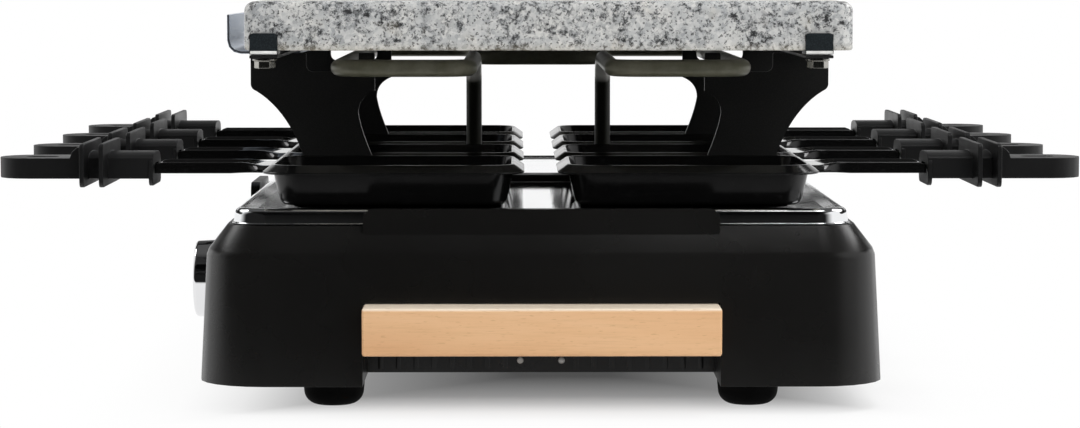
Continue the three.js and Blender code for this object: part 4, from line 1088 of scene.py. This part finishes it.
FOOT_SOLE = 5.5 * MM  # radius of the flat middle of the sole
FOOT_CROWN = 0.3 * MM  # how far the sole's rim lies above the floor
FOOT_DRAFT = 1 * MM
FOOT_ROUND = 6 * MM
FOOT_EDGE = 0.5 * MM
FOOT_GAP = 0.3 * MM  # below the housing
FOOT_STEM = 3.5 * MM  # radius
FOOT_STEPS = 8
FOOT_SIDES = 40
KNOB_AXIS = 0.3 * MM  # radius of its inmost rings
KNOB_DRAFT = 0.8 * MM
KNOB_BACK_EDGE = 0.4 * MM
KNOB_EDGE = 1.8 * MM
KNOB_RIM = 3 * MM
KNOB_RIM_ROUND = 0.5 * MM
KNOB_DISH = 0.7 * MM  # how far the face sinks inside its rim
KNOB_DISH_SLOPE = 1 * MM  # width of the slope into it
KNOB_DISH_ROUND = 0.6 * MM
KNOB_STEPS = 6
KNOB_SIDES = 72
POINTER_GAP = 1.5 * MM  # inside the rim; the shares are of what is left
POINTER_SHARES = (0.3, 0.66)  # its half length and its middle's distance from the axis
POINTER_HALF = 0.8 * MM
POINTER_ROUND = 0.78 * MM
POINTER_DEPTH = (0.4 * MM, 0.9 * MM)  # of its face and its root behind the knob's rim
DIAL_START = math.radians(-120)  # from the top, clockwise; the pointer rests here
DIAL_SWEEP = math.radians(240)


def make_foot(quarter_name):
    node = "foot_" + quarter_name
    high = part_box(node)[1]
    half, middle = halves(node)
    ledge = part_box("housing")[0][2] - FOOT_GAP
    profile = filleted([
        (FOOT_SOLE, 0, 0),
        (half[0] - FOOT_DRAFT, FOOT_CROWN, FOOT_ROUND),
        (half[0], ledge, FOOT_EDGE),
        (FOOT_STEM, ledge, 0)], FOOT_STEPS)
    profile.append((FOOT_STEM, high[2]))
    shape = turned(profile, FOOT_SIDES, lambda u, v, w: (middle[0] + u, middle[1] + v, w))
    finish_mesh(node + "_pad", shape, RUBBER, "root", [node])


for quarter_name, _, _ in QUARTERS:
    make_foot(quarter_name)


def make_knob():
    (half_length, radius, _), (_, *middle) = halves("thermostat_knob")
    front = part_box("thermostat_knob")[0][0]
    length = 2 * half_length
    dish = radius - KNOB_RIM
    profile = filleted([
        (KNOB_AXIS, length, 0),
        (radius, length, KNOB_BACK_EDGE),
        (radius - KNOB_DRAFT, 0, KNOB_EDGE),
        (dish, 0, KNOB_RIM_ROUND),
        (dish - KNOB_DISH_SLOPE, KNOB_DISH, KNOB_DISH_ROUND),
        (KNOB_AXIS, KNOB_DISH, 0)], KNOB_STEPS)
    shape = turned(profile, KNOB_SIDES, lambda u, v, w: (front + w, middle[0] + u, middle[1] + v))
    finish_mesh("knob_cap", shape, KNOB, "knob", ["thermostat_knob"])
    reach, distance = [share * (dish - POINTER_GAP) for share in POINTER_SHARES]
    pointer = rounded_ring(POINTER_HALF, reach, POINTER_ROUND, 0, (0, distance), KNOB_STEPS)
    sine, cosine = math.sin(DIAL_START), math.cos(DIAL_START)
    outline = [(middle[0] + u * cosine - v * sine, middle[1] + u * sine + v * cosine) for u, v, _ in pointer]
    shape = lofted([[(front + depth, y, z) for y, z in outline] for depth in POINTER_DEPTH])
    finish_mesh("knob_pointer", shape, POWDER, "knob", [])


make_knob()

# Marks on the control side: the dial's ticks, a scale with no words

TICKS = 9
LONG_TICK_EVERY = 4
TICK_RADIUS = 23 * MM
TICK_LENGTH = 3 * MM
LONG_TICK_LENGTH = 4.5 * MM
TICK_WIDTH = 0.7 * MM
TICK_SHEET = 0.12 * MM  # out of the wall, and as deep in it


def wall_x(point):
    """X of the left long wall beside a point, met by a ray from a metre away."""
    _, place, _, _ = frame["nodes"]["housing"].ray_cast((-1, point.y, point.z), (1, 0, 0))
    return place.x


def make_ticks():
    _, middle = halves("thermostat_knob")
    shape = bmesh.new()
    for tick in range(TICKS):
        angle = DIAL_START + DIAL_SWEEP * tick / (TICKS - 1)
        out = Vector((0, -math.sin(angle), math.cos(angle)))
        across = Vector((0, out.z, -out.y)) * TICK_WIDTH / 2
        start = Vector((0, middle[1], middle[2])) + out * TICK_RADIUS
        stop = start + out * (TICK_LENGTH if tick % LONG_TICK_EVERY else LONG_TICK_LENGTH)
        corners = [start - across, start + across, stop + across, stop - across]
        lofted([[(wall_x(point) - lift, point.y, point.z) for point in corners]
                for lift in (-TICK_SHEET, TICK_SHEET)], shape)
    look = Look("tick_white", (0.7, 0.7, 0.68), 0.5)
    look.color(look.ramp(look.noise(900, 3), [(0.3, (0.6, 0.6, 0.58)), (0.6, (0.74, 0.74, 0.72))]))
    finish_mesh("dial_ticks", shape, look.material, "root", [])


make_ticks()

# Plain pieces whose shape the CAD already has

SOFTENED = [  # node, material, width of its rounded edges, segments
    ("housing", HOUSING, 0.5 * MM, 3),
    ("base_plate", HOUSING, 0.3 * MM, 2),
    ("heater_base_plate", POWDER, 0.4 * MM, 2),
    ("drip_guard", GUARD, 0.25 * MM, 2),
    ("pilot_lens", LENS, 0.2 * MM, 2),
    ("cord_inlet", RUBBER, 0.3 * MM, 2),
]
SOFTENED += [("grip_" + end, BEECH, 1 * MM, 3) for end, _ in ENDS]
SOFTENED += [("rail_" + side, POWDER, 0.2 * MM, 2) for side, _ in SIDES]
for quarter_name, _, _ in QUARTERS:
    SOFTENED.append(("upright_screw_" + quarter_name, BOLT, 0.15 * MM, 2))
    SOFTENED.append(("clip_bolt_" + quarter_name, BOLT, 0.4 * MM, 3))

for piece in SOFTENED:
    softened(*piece)
dressed("terminal_block", CERAMIC)
dressed("thermostat_body", HOUSING)

# Floor

FLOOR_HALF = 6
# How far outside the housing's plan, and how much of the shadow is gone there; the glow is lower near the
# housing, a painted shadow
GLOW_STOPS = ((-0.12, 0.07), (-0.055, 0.26), (-0.03, 0.48), (-0.005, 0.8), (0.02, 0.95), (0.06, 1.0))
GLOW_SHIFT = 0.011  # the painted shadow lies this far to the right
MIRROR_FADE = (-0.38, -0.2)  # Y over which the floor, as mirrors see it, is painted dark in front


def make_floor():
    """A white glowing floor that keeps the object's shadow, which fades out a little way round the housing;
    in mirrors the floor is only its glow, so there the shadow is painted.
    """
    mesh = bpy.data.meshes.new("floor")
    corners = rectangle(-FLOOR_HALF, FLOOR_HALF, -FLOOR_HALF, FLOOR_HALF)
    mesh.from_pydata([(x, y, 0) for x, y in corners], [], [(0, 1, 2, 3)])
    floor = placed("floor", mesh)
    half, _ = halves("housing")
    look = Look("floor", (0.9, 0.9, 0.9), 0.6, specular=0.1)
    x, y, _ = look.axes(look.place)
    shifted = look.math("SUBTRACT", x, GLOW_SHIFT)
    outside = look.math("MAXIMUM", look.math("SUBTRACT", look.math("ABSOLUTE", shifted), half[0]),
                        look.math("SUBTRACT", look.math("ABSOLUTE", y), half[1]))
    first, last = GLOW_STOPS[0][0], GLOW_STOPS[-1][0]
    span = look.mapped(outside, first, last, 0, 1)
    share = look.ramp(span, [((spot - first) / (last - first), level) for spot, level in GLOW_STOPS])
    seen, glossy = look.ray_kinds()
    kind = "ShaderNodeEmission"
    plain = look.blend(look.math("MULTIPLY", share, seen), look.shader.outputs[0], look.glow(kind, 1))
    # Mirrors see only a glow, dimmer near the housing and in front: a painted shadow.
    fading = look.mapped(y, *MIRROR_FADE, DARK_FRONT, 1)
    mirrored = look.glow(kind, look.math("MULTIPLY", share, fading))
    surface = look.blend(glossy, plain, mirrored)
    look.join(surface, look.tree.nodes["Material Output"].inputs["Surface"])
    mesh.materials.append(look.material)


make_floor()

bpy.context.view_layer.update()
